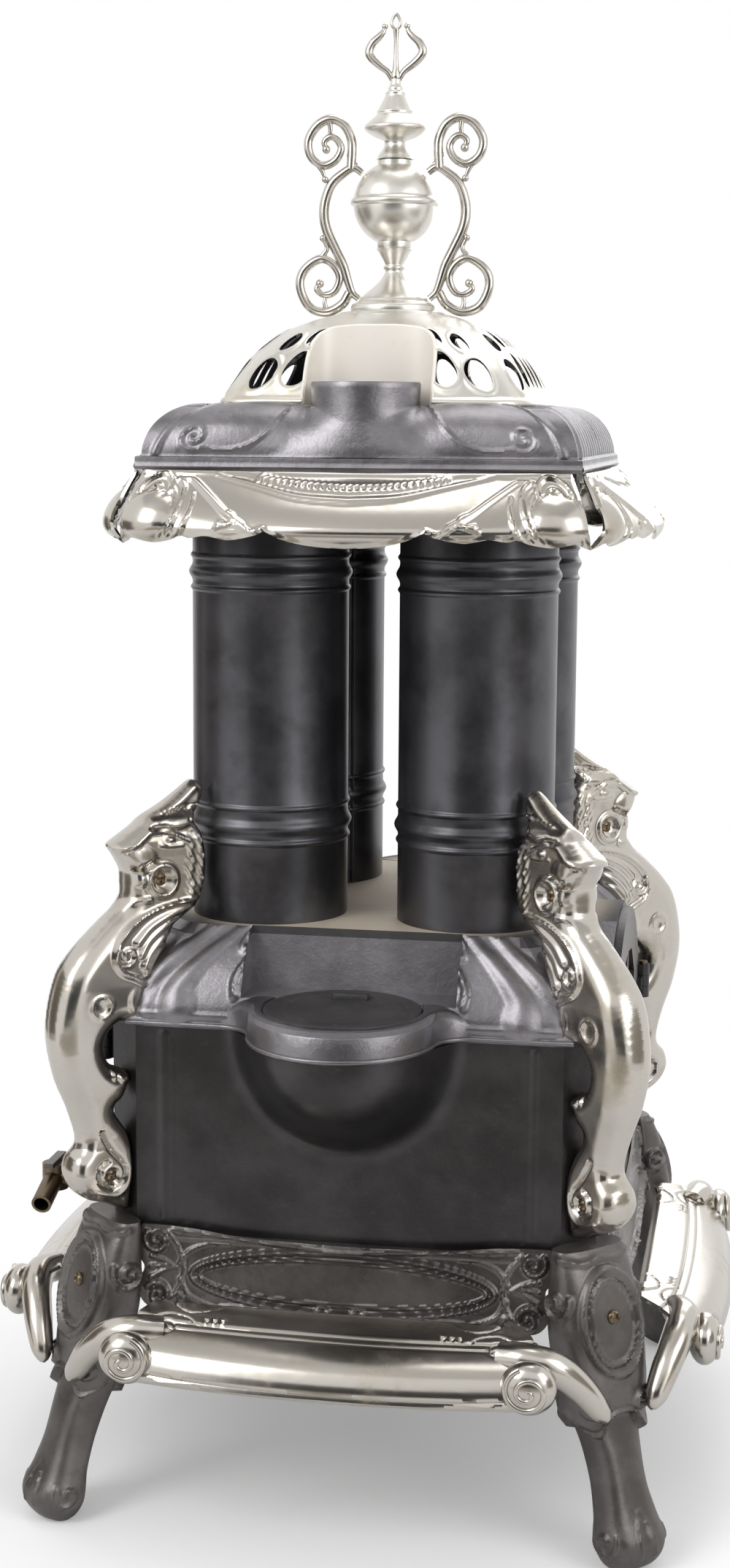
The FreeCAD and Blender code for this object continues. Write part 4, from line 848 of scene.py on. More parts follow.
class STOVE_OT_finial(StoveOperator, bpy.types.Operator):
    """Turn the urn of the finial and bend its scroll handles and lyre crown"""

    bl_idname = "stove.finial"
    bl_label = "Finial"

    # Radius and height of the turned pieces
    bell = [
        (0, 1157.4), (41.6, 1157.6), (42.8, 1160), (42.6, 1164), (41, 1166.4), (37, 1168), (35, 1169.4),
        (33.5, 1172), (28, 1177), (20, 1183.5), (14, 1189.5), (10.4, 1195), (8.8, 1199), (10.4, 1201),
        (10.6, 1203), (9, 1204.6), (9.8, 1207), (12, 1211), (15, 1216.5), (16.8, 1221.2), (0, 1221.6),
    ]
    spire = [
        (0, 1305.6), (17.2, 1306), (17.4, 1308), (15.6, 1311.5), (12.4, 1316), (10.6, 1320),
        (10.8, 1323.4), (13, 1325.2), (19, 1327.4), (25.5, 1331), (29.6, 1334.4), (30.5, 1336.4),
        (29.6, 1338.8), (25, 1343), (19.6, 1347.6), (18, 1350), (18.2, 1351.8), (16.6, 1354.6),
        (13.2, 1361), (10.6, 1366), (9.9, 1368.4), (10, 1370.2), (7.4, 1371.8), (7.4, 1374.6),
        (5.6, 1378), (4.6, 1384), (0, 1384.4),
    ]
    stem = [
        (0, 1379), (4.6, 1381), (5.4, 1386), (3.4, 1392), (2.4, 1402), (2.2, 1420), (3.2, 1430), (0, 1431),
    ]
    # Ball: the profile under and over its skin, and the rolled bead over its seam
    ball_middle, ball_radius, ball_foot = 1264.0, 40.8, 17.2
    ball_under = [(0, 1220), (16.6, 1220.4), (17.2, 1222.6)]
    ball_over = [(17.2, 1305.4), (0, 1305.8)]
    bead, bead_half, bead_lift = 3.0, 4.0, 1.0
    # Handle lines as way out and height, seen from the flue side
    strap = [
        (33, 1294), (42, 1299), (53, 1293), (63, 1284), (69, 1270), (71, 1255), (68, 1239), (59, 1220),
        (51, 1204), (46, 1188), (42, 1178), (35.5, 1172),
    ]
    upper_scroll = [
        (44, 1298), (43, 1315), (44, 1327), (51, 1340), (64, 1346), (78, 1340), (87, 1325), (84, 1310),
        (72, 1301.5), (60, 1306), (54, 1317), (58, 1326), (65, 1329), (71, 1324), (69, 1317),
    ]
    lower_scroll = [
        (45, 1178), (53, 1166), (69, 1159), (86, 1165), (95, 1184), (91, 1200), (75, 1211), (62, 1206),
        (55, 1193), (60, 1179.5), (70, 1176), (78, 1181), (75, 1187),
    ]
    pearled_spurs = ([(74, 1212), (68, 1221), (72, 1231)], [(78, 1303), (73, 1296), (70, 1288)])
    plain_spurs = (
        [(66, 1344), (65, 1336), (66, 1330)],
        [(68, 1161), (70, 1168), (69, 1175)],
        [(39, 1301), (46, 1309), (44, 1320)],
    )
    petal = [
        (3.4, 1382), (8, 1390), (17, 1397), (24, 1403.5), (26.6, 1409.5), (23, 1417.5), (16, 1424),
        (12.4, 1428.5), (11, 1433),
    ]
    loop = [(0, 1429.5), (3.6, 1433), (4.2, 1437), (2.6, 1441.6), (0, 1445)]
    # Wires: radius at the start, radius at the end and swell in the middle
    strap_wire, scroll_wire, spur_wire = (3.6, 3.4, 1.7), (4.8, 2.8, 0.6), (2.8, 1.9, 0.0)
    petal_wire, loop_wire = (2.4, 1.7, 2.3), (1.6, 1.6, 0.0)
    scroll_pearl, spur_pearl, petal_pearl = 4.4, 3.6, 3.2

    def ball(self):
        """The two halves of the ball, their seam under a rolled bead."""
        foot = math.asin(self.ball_foot / self.ball_radius)
        angle = np.linspace(foot, math.pi - foot, 61)
        height = self.ball_middle - self.ball_radius * np.cos(angle)
        roll = unit(1 - ((height - self.ball_middle - self.bead_lift) / self.bead_half) ** 2)
        radius = self.ball_radius * np.sin(angle) + self.bead * np.sqrt(roll)
        return [*self.ball_under, *zip(radius, height), *self.ball_over]

    def wire(self, bm, line, sizes, sign):
        """A bent wire that thins along its way, and may swell in the middle."""
        thick, thin, swell = sizes
        line = through(line, 7)
        share = np.linspace(0, 1, len(line))
        radii = thick + (thin - thick) * share + swell * np.sin(share * math.pi)
        bar(bm, [(sign * x, 0, z) for x, z in line], radii, 12)

    def pearl(self, bm, spot, radius, sign):
        angles = np.linspace(0, math.pi, 9)
        profile = [(radius * math.sin(angle), -radius * math.cos(angle)) for angle in angles]
        lathe(bm, profile, (sign * spot[0], 0, spot[1]), (0, 1, 0), 16)

    def handle(self, bm, sign):
        self.wire(bm, self.strap, self.strap_wire, sign)
        for scroll in (self.upper_scroll, self.lower_scroll):
            self.wire(bm, scroll, self.scroll_wire, sign)
            self.pearl(bm, scroll[-1], self.scroll_pearl, sign)
        for spur in (*self.pearled_spurs, *self.plain_spurs):
            self.wire(bm, spur, self.spur_wire, sign)
        for spur in self.pearled_spurs:
            self.pearl(bm, spur[-1], self.spur_pearl, sign)

    def half_crown(self, bm, sign):
        self.wire(bm, self.petal, self.petal_wire, sign)
        self.pearl(bm, self.petal[-1], self.petal_pearl, sign)
        self.wire(bm, self.loop, self.loop_wire, sign)

    def execute(self, context):
        urn = (
            ("finial_bell", through(self.bell, 3), ["finial_foot"]),
            ("finial_ball", self.ball(), ["finial_ball_lower", "finial_ball_upper"]),
            ("finial_spire", through(self.spire, 3), ["finial_vase"]),
        )
        for name, profile, nodes in urn:
            bm = bmesh.new()
            lathe(bm, [(max(radius, 0), height) for radius, height in profile], steps=72)
            piece(name, bm, "dome_top", "dull_nickel", nodes=nodes, smooth=50)
        handles, lyre = bmesh.new(), bmesh.new()
        for sign in (1, -1):
            self.handle(handles, sign)
            self.half_crown(lyre, sign)
        lathe(lyre, self.stem, steps=20)
        piece("finial_handles", handles, "dome_top", "nickel", nodes=["finial_scrolls"], smooth=60)
        piece("finial_lyre", lyre, "dome_top", "nickel", nodes=["finial_crown"], smooth=60)
        return {"FINISHED"}


# Brackets


class STOVE_OT_griffins(StoveOperator, bpy.types.Operator):
    """Carve the four nickel griffin brackets of the corners"""

    bl_idname = "stove.griffins"
    bl_label = "Griffin brackets"

    # Side outline as reach along the corner's diagonal and height
    front = [
        (231, 707.5), (239, 708.5), (252, 700), (266, 691), (279, 684), (289, 679), (300, 670),
        (313, 662), (327, 653), (325, 648), (321, 643), (316, 635), (312, 627), (311, 615), (312, 603),
        (320, 593), (337, 580), (366, 554), (383, 529), (393, 481), (386, 434), (373, 401), (364, 368),
        (374, 354), (377, 339), (371, 323), (357, 311), (338, 304), (324, 297), (314, 293),
    ]
    back = [
        (312, 304), (310, 330), (313, 369), (328, 396), (318, 408), (312, 430), (333, 443), (340, 465),
        (325, 481), (304, 478), (295, 511), (277, 540), (262, 569), (236, 588), (227, 622), (231, 657),
        (238, 672), (229, 688), (226, 701),
    ]
    # Half thickness at some heights
    swell = [
        (290, 14), (338, 20), (372, 17), (400, 19), (460, 24), (520, 25), (570, 22), (620, 19), (640, 20),
        (655, 20), (668, 17), (680, 12), (692, 10), (703, 8), (710, 6),
    ]
    # Half thickness of the rim, and how far in the rounding of the flank reaches, at some heights
    rims = [(290, 3.5), (585, 3.5), (612, 6.0), (640, 8.0), (655, 7.0), (668, 4.0), (710, 2.0)]
    rounds = [(290, 11), (358, 11), (388, 21), (585, 21), (615, 10), (660, 11), (680, 9), (710, 8)]
    # The muzzle narrows towards its tip
    muzzle_from, muzzle_long, muzzle_low, muzzle_taper = 296.0, 32.0, 616.0, 0.45
    # The carving fades out towards the rim, and leaves this half thickness at least
    carving_fade, least_half, softening = 5.0, 1.5, 0.25
    # Mane: one feather, its place in the first row, and the steps from row to row and to the next column
    feather = [(5.0, 6.0), (0.5, 0.0), (-1.5, -6.0)]
    mane_top, mane_drop, mane_across, mane_lag = (236.0, 656.0), 7.6, 12.0, 3.0
    mane_rows, mane_columns, mane_sway, mane_wave = 8, 2, 2.0, 2.1
    # Wing: the quill round the curled shoulder and the feathers inside it
    quill = [
        (235, 596), (262, 594), (286, 590), (306, 582), (321, 571), (331, 558), (334, 546), (326, 533),
        (310, 525), (298, 514),
    ]
    pinions = (
        [(241, 588), (268, 584), (293, 574), (309, 560)],
        [(252, 578), (275, 574), (295, 562), (306, 548)],
        [(262, 567), (280, 561), (295, 549), (302, 537)],
        [(271, 554), (284, 549), (294, 539), (299, 529)],
    )
    # Foot: the outer scroll and the groove that winds round the screw
    foot_scroll = [(331, 397), (317, 373), (314, 347), (318, 325), (332, 314), (355, 321)]
    foot_groove = [
        (346, 378), (336, 359), (324, 344), (324, 330), (337, 322), (350, 330), (351, 343), (342, 349),
    ]
    neck_screw, chest_screw, foot_screw = (279, 617), (349, 503), (337, 335)
    well_depth = -5.0

    def outline(self):
        return np.vstack([through(self.front, 6), through(self.back, 6)])

    def carve_head(self, relief):
        # Horn, and under it the hair that ends in a curl
        relief.line([(292, 673), (274, 682), (254, 692), (237, 704)], 7.0, 2.6, 1.0, 0.7)
        relief.cut([(286, 677), (268, 681), (250, 685), (236, 686)], 1.8, 2.6)
        relief.boss((262, 672), 25, 8.5, 4.6, lean=-8)
        relief.groove(volute((244, 674), (252, 679), 1.2, 1, 0.25, 28), 1.4, 2.0)
        relief.cut([(294, 668), (274, 669), (264, 664), (252, 660), (236, 661)], 1.8, 2.8)
        # Bridge of the nose, brow, eye, lower lid, muzzle, nostril, lips and chin
        relief.line([(293, 666), (307, 657), (324, 651)], 5.0, 4.6, 0.8, 1.0)
        relief.line([(294, 664), (280, 664), (266, 661), (250, 653)], 3.0, 3.2, 0.8, 0.6)
        relief.boss((271, 656), 5.4, 3.4, 3.0)
        relief.line([(282, 652), (270, 650), (257, 650)], 1.7, 1.7)
        relief.boss((305, 641), 22, 15, 3.0, lean=20)
        relief.boss((317, 647), 3.2, 2.0, -2.4)
        relief.line([(313, 630), (301, 627), (291, 629), (283, 637)], 2.3, 3.0, 0.9, 0.8)
        relief.cut([(308, 630), (297, 632), (285, 637)], 2.6, 9.0)
        relief.boss((303, 619), 10, 7, 2.6)

    def carve_neck(self, relief):
        # Cheek ring with its screw well, and the lock of the beard
        relief.ridge(oval(self.neck_screw, 14.5, 14.5), 3.2, 3.2)
        relief.boss(self.neck_screw, 10.5, 10.5, self.well_depth)
        relief.line([(294, 600), (307, 599), (319, 592)], 3.2, 2.8, 1.0, 0.5)
        # Mane: small feathers that lie in rows along the back of the neck
        left, top = self.mane_top
        for row in range(self.mane_rows):
            for column in range(self.mane_columns):
                x = left + self.mane_across * column + self.mane_sway * math.sin(self.mane_wave * row)
                z = top - self.mane_drop * row - self.mane_lag * column
                relief.line([(x + across, z + up) for across, up in self.feather], 2.2, 1.8, 0.4, 1.0)

    def carve_wing(self, relief):
        relief.line(self.quill, 3.6, 4.8, 0.6, 0.8)
        relief.ridge(volute((320, 549), (329, 557), 1.3, -1, 0.16), 2.8, 3.6, 1.0, 0.6)
        for pinion in self.pinions:
            relief.line(pinion, 4.6, 3.6, 0.5, 1.0)

    def carve_foot(self, relief):
        # Hip block, its screw well and the side knob
        relief.boss((306, 505), 15, 15, 2.0)
        relief.boss(self.chest_screw, 9, 9, self.well_depth)
        relief.ridge(oval(self.chest_screw, 10.5, 10.5, 24), 2.0, 1.4)
        relief.ridge(volute((323, 434), (333, 432), 1.3, 1, 0.25, 30), 3.0, 3.4)
        # The scroll that winds round the screw of the foot
        relief.boss((347, 337), 27, 25, 2.5)
        relief.line(self.foot_scroll, 6.0, 3.0, 0.6, 0.6)
        relief.cut(self.foot_groove, 2.4, 4.4)
        relief.boss(self.foot_screw, 8.5, 8.5, self.well_depth)

    def ornament(self):
        relief = Relief()
        for carve in (self.carve_head, self.carve_neck, self.carve_wing, self.carve_foot):
            carve(relief)
        return relief

    def flank(self):
        """One flank: rounded from the rim inwards, with the ornament raised on it."""
        outline = self.outline()
        low, high = outline.min(0), outline.max(0)
        bm = sheet((low[0], high[0]), (low[1], high[1]), cells(), outline)
        flat = np.array([vert.co[:2] for vert in bm.verts])
        reach, up = flat.T
        depth, _, _ = nearest(flat, np.vstack([outline, outline[:1]]))
        full, rim = read_rows(self.swell, up), read_rows(self.rims, up)
        inward = unit(depth / read_rows(self.rounds, up))
        body = rim + (full - rim) * np.sqrt(1 - (1 - inward) ** 2)
        muzzle = unit((reach - self.muzzle_from) / self.muzzle_long) * (up > self.muzzle_low)
        body = body * (1 - self.muzzle_taper * muzzle**2)
        carved = self.ornament()(flat) * unit(depth / self.carving_fade)
        for vert, spot, out in zip(bm.verts, flat, np.maximum(body + carved, self.least_half)):
            vert.co = (spot[0], -out, spot[1])
        return bm

    def execute(self, context):
        bm = self.flank()
        bmesh.ops.smooth_vert(bm, verts=bm.verts, factor=self.softening, use_axis_y=True)
        other = bm.copy()
        bmesh.ops.scale(other, vec=(1, -1, 1), verts=other.verts)
        bmesh.ops.reverse_faces(other, faces=other.faces)
        joined(bm, other)
        bmesh.ops.bridge_loops(bm, edges=[edge for edge in bm.edges if edge.is_boundary])
        bmesh.ops.recalc_face_normals(bm, faces=bm.faces)
        set_round(CORNERS, "griffin_casting", "griffin", bm, "nickel", CORNER_TURN)
        return {"FINISHED"}


class STOVE_OT_screws(StoveOperator, bpy.types.Operator):
    """Set the slotted screws of the brackets and of the legs"""

    bl_idname = "stove.screws"
    bl_label = "Screws"

    # Reach along the corner's diagonal, height and way out of the bracket's middle
    bracket_rows = (
        (*STOVE_OT_griffins.neck_screw, 14),
        (*STOVE_OT_griffins.chest_screw, 18),
        (*STOVE_OT_griffins.foot_screw, 17),
    )
    leg_spot = (364.6, 0.0, 231.0)
    # Radius and lift of the heads
    bracket_head, leg_head = (6.5, 3.5), (7.0, 4.0)
    # Half width of the slot as a share of the radius, what it leaves of the lift, and the shank in the hole
    slot_share, floor_share, shank = 0.256, 0.45, 1.0

    def head(self, place, facing, radius, lift):
        """A round-headed screw with a cut slot, standing on a place."""
        bm = bmesh.new()
        angles = np.linspace(0, math.pi / 2, 7)
        dome = [(radius * math.cos(angle), lift * math.sin(angle)) for angle in angles]
        lathe(bm, [(0, -self.shank), (radius, -self.shank)] + dome, steps=24)
        for vert in bm.verts:
            if abs(vert.co.y) < radius * self.slot_share and vert.co.z > 0:
                vert.co.z *= self.floor_share
        return stood(bm, place, facing)

    def corner_heads(self):
        """Heads of one corner: a pair for each screw of the bracket, and the one of the leg."""
        sides = (-1, 1)
        bracket = [
            self.head((reach, side * out, height), (0, side, 0), *self.bracket_head)
            for reach, height, out in self.bracket_rows
            for side in sides
        ]
        return bracket, [self.head(self.leg_spot, (1, 0, 0), *self.leg_head)]

    def execute(self, context):
        bracket, leg = bmesh.new(), bmesh.new()
        for step in range(len(CORNERS)):
            for whole, heads in zip((bracket, leg), self.corner_heads()):
                joined(whole, *(turned(head, CORNER_TURN + SIDE_TURN * step) for head in heads))
        piece("bracket_screw_heads", bracket, "stove", "steel", nodes=["bracket_screws"])
        piece("leg_screw_heads", leg, "stove", "steel", nodes=["leg_screws"])
        return {"FINISHED"}


# Legs


class STOVE_OT_legs(StoveOperator, bpy.types.Operator):
    """Cast the four cabriole legs with their oval medallions"""

    bl_idname = "stove.legs"
    bl_label = "Legs"

    # Height with the outer reach, the inner reach and the half width there
    stations = [
        (0, 404, 384, 21), (6, 414, 376, 27), (18, 421, 370, 32), (32, 420, 369, 33), (50, 409, 366, 29),
        (75, 398, 357, 25), (105, 388, 345, 26), (128, 379, 336, 31), (146, 375, 329, 39),
        (175, 375, 324, 45), (205, 370, 316, 47), (231, 364, 312, 46), (255, 356, 312, 44),
        (272, 349, 312, 42), (284, 342, 312, 40), (290, 338, 312, 38),
    ]
    # Length of the drawing that goes once round the leg
    turn_length = 220.0
    # Where the widest line lies between front and back, and powers of the section, rounder under the ankle
    widest_share, section_power, foot_power, ankle = 0.62, 0.62, 0.2, 60.0
    # Scalloped hem of the knee over the shin, and the bead along it
    hem, hem_wave, hem_pitch, hem_lift, hem_fade, hem_step = 131.0, 10.0, 55.0, 7.0, 55.0, 3.0
    bead, bead_half = 2.0, 4.0
    # Where the front's ornament ends, as a share of the turn, and the flank's begins, of the half width
    front_end, front_fade, flank_from, flank_fade = 0.25, 0.03, 0.80, 0.12
    # Middle of the medallion, and its rings: half width, half height, width and rise
    medallion, medallion_rings = (0, 226), ((33, 47, 3.8, 5.4), (25, 38, 2.0, 2.4))
    knee_eye = (334, 243)
    # Distance at which the two edges of the drawing meet at the back
    seam = 0.05

    def at(self, up):
        """Outer reach, inner reach and half width at heights."""
        heights, *columns = np.array(self.stations, float).T
        lines = [through(np.stack([heights, column], 1), 8) for column in columns]
        return [np.interp(up, *line.T) for line in lines]

    def surface(self, across, up):
        outer, inner, half = self.at(up)
        angle = across / self.turn_length * math.tau
        middle = outer - (outer - inner) * self.widest_share
        power = self.section_power + self.foot_power * unit((self.ankle - up) / self.ankle)
        wide, deep = (np.sign(wave) * np.abs(wave) ** power for wave in (np.sin(angle), np.cos(angle)))
        reach = middle + np.where(deep > 0, outer - middle, middle - inner) * deep
        return np.stack([reach, half * wide, up], 1)

    def front(self):
        """A medallion, a moulding at the top, and a line and a volute on each side lower down."""
        relief = Relief(both=True)
        for wide, tall, width, rise in self.medallion_rings:
            relief.ridge(oval(self.medallion, wide, tall, 72), width, rise, both=False)
        relief.line([(-40, 284), (-20, 280), (0, 283), (20, 280), (40, 284)], 3.0, 2.6, both=False)
        relief.line([(0, 56), (7, 40), (9, 18)], 2.0, 1.6)
        relief.ridge(volute((24, 152), (33, 159), 1.3, -1, 0.18, 36), 2.6, 4.0)
        return relief

    def flank(self):
        """A volute on the knee, and a volute and a line on the foot."""
        relief = Relief()
        relief.ridge(volute(self.knee_eye, (348, 251), 1.5, -1, 0.14, 60), 2.8, 4.2)
        relief.boss(self.knee_eye, 12, 12, 2.4)
        relief.ridge(volute((397, 30), (408, 38), 1.1, -1, 0.2, 30), 2.4, 2.6)
        relief.line([(398, 12), (380, 22), (371, 44), (363, 66)], 2.2, 2.0, 0.8, 0.4)
        return relief

    def scallop(self, round_way, up):
        """The hem of the knee, which stands out over the shin, with its bead."""
        edge = self.hem - self.hem_wave * np.cos(math.tau * (round_way / self.hem_pitch + 0.5))
        above = up - edge
        lift = self.hem_lift * eased(unit(above / self.hem_step)) * unit(1 - above / self.hem_fade)
        return lift + self.bead * unit(1 - ((above - self.bead_half) / self.bead_half) ** 2)

    def ornament(self, flat):
        round_way, up = np.abs(flat[:, 0]), flat[:, 1]
        place = self.surface(flat[:, 0], up)
        half = self.at(up)[2]
        facing = unit((self.front_end - round_way / self.turn_length) / self.front_fade)
        beside = unit((np.abs(place[:, 1]) / half - self.flank_from) / self.flank_fade)
        carved = self.front()(place[:, 1:]) * facing + self.flank()(place[:, [0, 2]]) * beside
        return carved + self.scallop(round_way, up)

    def execute(self, context):
        half = self.turn_length / 2
        top = self.stations[-1][0]
        bm = sheet((-half, half), (0, top), cells(1.15))
        raised(bm, self.surface, self.ornament)
        bmesh.ops.remove_doubles(bm, verts=bm.verts, dist=self.seam)
        bmesh.ops.holes_fill(bm, edges=bm.edges, sides=0)
        bmesh.ops.recalc_face_normals(bm, faces=bm.faces)
        set_round(CORNERS, "leg_casting", "leg", bm, "leg_iron", CORNER_TURN)
        return {"FINISHED"}


# Aprons and foot rails


class STOVE_OT_aprons(StoveOperator, bpy.types.Operator):
    """Cast the four aprons with their bare oval cartouche"""

    bl_idname = "stove.aprons"
    bl_label = "Aprons"

    half, top, bottom, lean = 198.0, 287.0, 206.0, 16.0
    face_out, wall = 246.0, 6.0
    edge = [
        (0, 278), (60, 279), (104, 281), (150, 286), (190, 287), (198, 284), (198, 258), (193, 247),
        (197, 234), (194, 216), (172, 208), (100, 211), (38, 210), (12, 206), (0, 206),
    ]
    # Flange that carries the apron under the base plate
    flange_low, flange_high = (-182.0, -249.0, 270.0), (182.0, -214.0, 277.6)
    cartouche, cartouche_half = (0, 243), (146, 28)
    # Rings of the cartouche: inset, width and rise
    rings = ((0, 2.8, 4.4), (8, 1.8, 2.8))
    # C-scroll and leaves at the ends: line, width, rise and taper
    leaves = (
        ([(170, 281), (159, 266), (154, 248), (157, 232), (167, 216)], 3.2, 3.4, 0.6, 0.8),
        ([(110, 273), (132, 272), (150, 264), (158, 252)], 2.8, 3.0, 0.4, 0.9),
        ([(110, 213), (132, 217), (148, 224), (157, 238)], 2.8, 3.0, 0.4, 0.9),
    )
    # Fan of leaflets beside the C-scroll: lifts of their tips, and the share of that lift halfway
    fan_lifts, fan_share = (10, 0, -10), 0.4
    foot_line = [(12, 209), (60, 214), (110, 215), (150, 210)]

    def surface(self, across, up):
        fall = (self.top - up) / (self.top - self.bottom)
        return np.stack([across, -(self.face_out + self.lean * fall), up], 1)

    def ornament(self):
        relief = Relief(both=True)
        wide, tall = self.cartouche_half
        for inset, width, rise in self.rings:
            relief.ridge(oval(self.cartouche, wide - inset, tall - inset, 96), width, rise, both=False)
        relief.line([(0, 274), (70, 276), (120, 280), (166, 284)], 3.0, 3.0, 0.8, 0.6)
        relief.ridge(volute((181, 273), (191, 280), 1.4, -1, 0.15), 2.8, 4.6)
        relief.ridge(volute((178, 222), (189, 229), 1.4, 1, 0.15), 2.8, 4.6)
        for line, *sizes in self.leaves:
            relief.line(line, *sizes)
        for lift in self.fan_lifts:
            leaflet = [(160, 248), (172, 250 + self.fan_share * lift), (186, 248 + lift)]
            relief.line(leaflet, 2.6, 2.8, 0.5, 1.0)
        relief.line(self.foot_line, 3.0, 2.6, 1.0, 0.6)
        relief.ridge(volute((16, 214), (24, 216), 1.2, 1, 0.2, 26), 2.2, 2.4)
        relief.boss((157, 221), 5.5, 5.5, 2.5)
        relief.boss((0, 213), 5.5, 5.5, 3.0, both=False)
        return relief

    def execute(self, context):
        outline = mirrored(through(self.edge, 5))
        bm = sheet((-self.half, self.half), (self.bottom, self.top), cells(), outline)
        raised(bm, self.surface, self.ornament(), self.wall)
        block(bm, self.flange_low, self.flange_high)
        set_round(SIDES, "apron_casting", "apron", bm, "apron_iron")
        return {"FINISHED"}


class STOVE_OT_rails(StoveOperator, bpy.types.Operator):
    """Model the four nickel foot rails with mouldings, scroll ends and drooping arms"""

    bl_idname = "stove.rails"
    bl_label = "Foot rails"

    back, front, top, drop = 275.0, 358.0, 219.0, 49.0
    half, front_half, end_out = 204.0, 190.0, 0.80
    span, wall = 110.0, 3.6
    # Tread profile: way out and way down as shares, over the run of the tread
    tread_shares = [
        (0.0, 0.10), (0.02, 0.0), (0.08, 0.0), (0.30, 0.08), (0.62, 0.24), (0.86, 0.46), (0.97, 0.70),
        (1.0, 0.90), (0.97, 1.0),
    ]
    # Edge of the tread: place across, and share of the run
    edge = [
        (0, 1.0), (120, 1.0), (180, 0.99), (192, 0.86), (196, 0.62), (203, 0.5), (202, 0.40), (190, 0.27),
        (178, 0.1), (166, 0.005), (150, 0),
    ]
    # Mouldings along the tread and leaves at its ends: line, width, rise and taper
    mouldings = (
        ([(0, 38), (90, 38), (150, 36), (186, 30)], 2.6, 2.0),
        ([(0, 46), (90, 46), (150, 45), (182, 42)], 1.8, 1.4),
        ([(0, 103), (120, 102), (180, 99)], 3.4, 2.2),
        ([(124, 40), (140, 28), (160, 26), (176, 40), (166, 56)], 3.2, 3.0, 0.4, 0.8),
    )
    # Row of pearls beside the leaf: the first one's place, the step to the next, and their count
    pearl, pearl_step, pearls = (120, 31), 8, 3
    # Arm over the leg: its line, its radius, how much it swells and thins, and where its tip begins
    arm_line = [
        (160, -312, 206), (184, -319, 208), (210, -316, 201), (233, -307, 180), (248, -299, 158),
        (257, -294, 143),
    ]
    arm_radius, arm_swell, arm_thinning, arm_tip, arm_end = 15.0, 3.0, 7.0, 0.80, 0.05
    # Scroll at the front corner: its ball, and where its curl starts as shares of the ball
    scroll_spot, scroll_size = (188, -340, 190), (26, 16, 25)
    curl_start_share, curl_turns, curl_thick, curl_thin = (-0.30, 0.80), 1.9, 3.2, 2.2

    def surface(self, across, along):
        out, down = paced(through(self.tread_shares, 8), unit(along / self.span))
        narrowing = (1 - self.end_out) * np.minimum(1, (across / self.front_half) ** 2)
        depth = (self.front - self.back) * (1 - narrowing)
        return np.stack([across, -(self.back + out * depth), self.top - down * self.drop], 1)

    def ornament(self):
        relief = Relief(both=True)
        relief.ridge([(-160, 5), (160, 5)], 3.4, 3.0, both=False)
        for line, *sizes in self.mouldings:
            relief.line(line, *sizes)
        relief.ridge(volute((156, 44), (166, 52), 1.2, -1, 0.2, 26), 2.4, 2.4)
        relief.line([(112, 12), (126, 20), (142, 20), (156, 10)], 3.0, 2.6, 0.4, 0.8)
        for step in range(self.pearls):
            relief.boss((self.pearl[0] - self.pearl_step * step, self.pearl[1]), 3.8, 3.8, 3.2)
        return relief

    def arm(self, bm, sign):
        """A plump arm that droops over the leg."""
        line = through(self.arm_line, 8) * (sign, 1, 1)
        share = np.linspace(0, 1, len(line))
        tip = np.sqrt(1 - unit((share - self.arm_tip) / (1 - self.arm_tip)) ** 2)
        plump = self.arm_radius + self.arm_swell * np.sin(share * math.pi) - self.arm_thinning * share
        bar(bm, line, plump * tip + self.arm_end, 20)

    def scroll(self, bm, sign):
        """The ball of the front corner with a curl wound on it."""
        x, y, z = self.scroll_spot
        wide, deep, tall = self.scroll_size
        spread = Matrix.Translation((sign * x, y, z)) @ Matrix.Diagonal((wide, deep, tall, 1))
        bmesh.ops.create_uvsphere(bm, u_segments=32, v_segments=20, radius=1.0, matrix=spread)
        curl = volute((0, 0), self.curl_start_share, self.curl_turns, 1, 0.10, 60)
        rise = np.sqrt(unit(1 - (curl**2).sum(1)))
        places = [
            (sign * (x + wide * across), y - deep * out, z + tall * up)
            for (across, up), out in zip(curl, rise)
        ]
        bar(bm, places, np.linspace(self.curl_thick, self.curl_thin, len(places)), 10)

    def execute(self, context):
        edge = through([(across, share * self.span) for across, share in self.edge], 6)
        outline = mirrored(np.vstack([edge, [(0, 0)]]))
        bm = sheet((-self.half, self.half), (0, self.span), cells(), outline)
        raised(bm, self.surface, self.ornament(), self.wall)
        for sign in (-1, 1):
            self.arm(bm, sign)
            self.scroll(bm, sign)
        set_round(SIDES, "foot_rail_casting", "foot_rail", bm, "nickel")
        return {"FINISHED"}


# Hearth panel


class STOVE_OT_panel(StoveOperator, bpy.types.Operator):
    """Cast the hearth panel with the flue pocket that swells out of it"""

    bl_idname = "stove.panel"
    bl_label = "Hearth panel"

    half, low, high, face_out, wall = 205.0, 290.0, 481.0, 236.0, 5.0
    pocket_foot, pocket_out, pocket_half = 348.0, 109.0, 130.0
    # Powers that round the middle of the pocket and ease its edge into the panel
    pocket_round, pocket_ease = 0.6, 3.0
    # Upright mouldings: inset from the end, width and rise, and how far under the top they stop
    mouldings, moulding_stop = ((27, 4.5, 1.6), (35, 2.0, 0.6)), 8.0

    def surface(self, across, up):
        fall = unit((self.high - up) / (self.high - self.pocket_foot))
        reach = unit((across / self.pocket_half) ** 2 + fall**2)
        bulge = self.pocket_out * (1 - reach) ** (self.pocket_round + self.pocket_ease * reach)
        return np.stack([across, -(self.face_out + bulge), up], 1)

    def execute(self, context):
        relief = Relief(both=True)
        for inset, width, rise in self.mouldings:
            across = self.half - inset
            relief.ridge([(across, self.low), (across, self.high - self.moulding_stop)], width, rise)
        bm = sheet((-self.half, self.half), (self.low, self.high), cells(1.5))
        raised(bm, self.surface, relief, self.wall)
        piece("near_panel_casting", bm, "stove", "body_iron", nodes=["near_panel"])
        return {"FINISHED"}


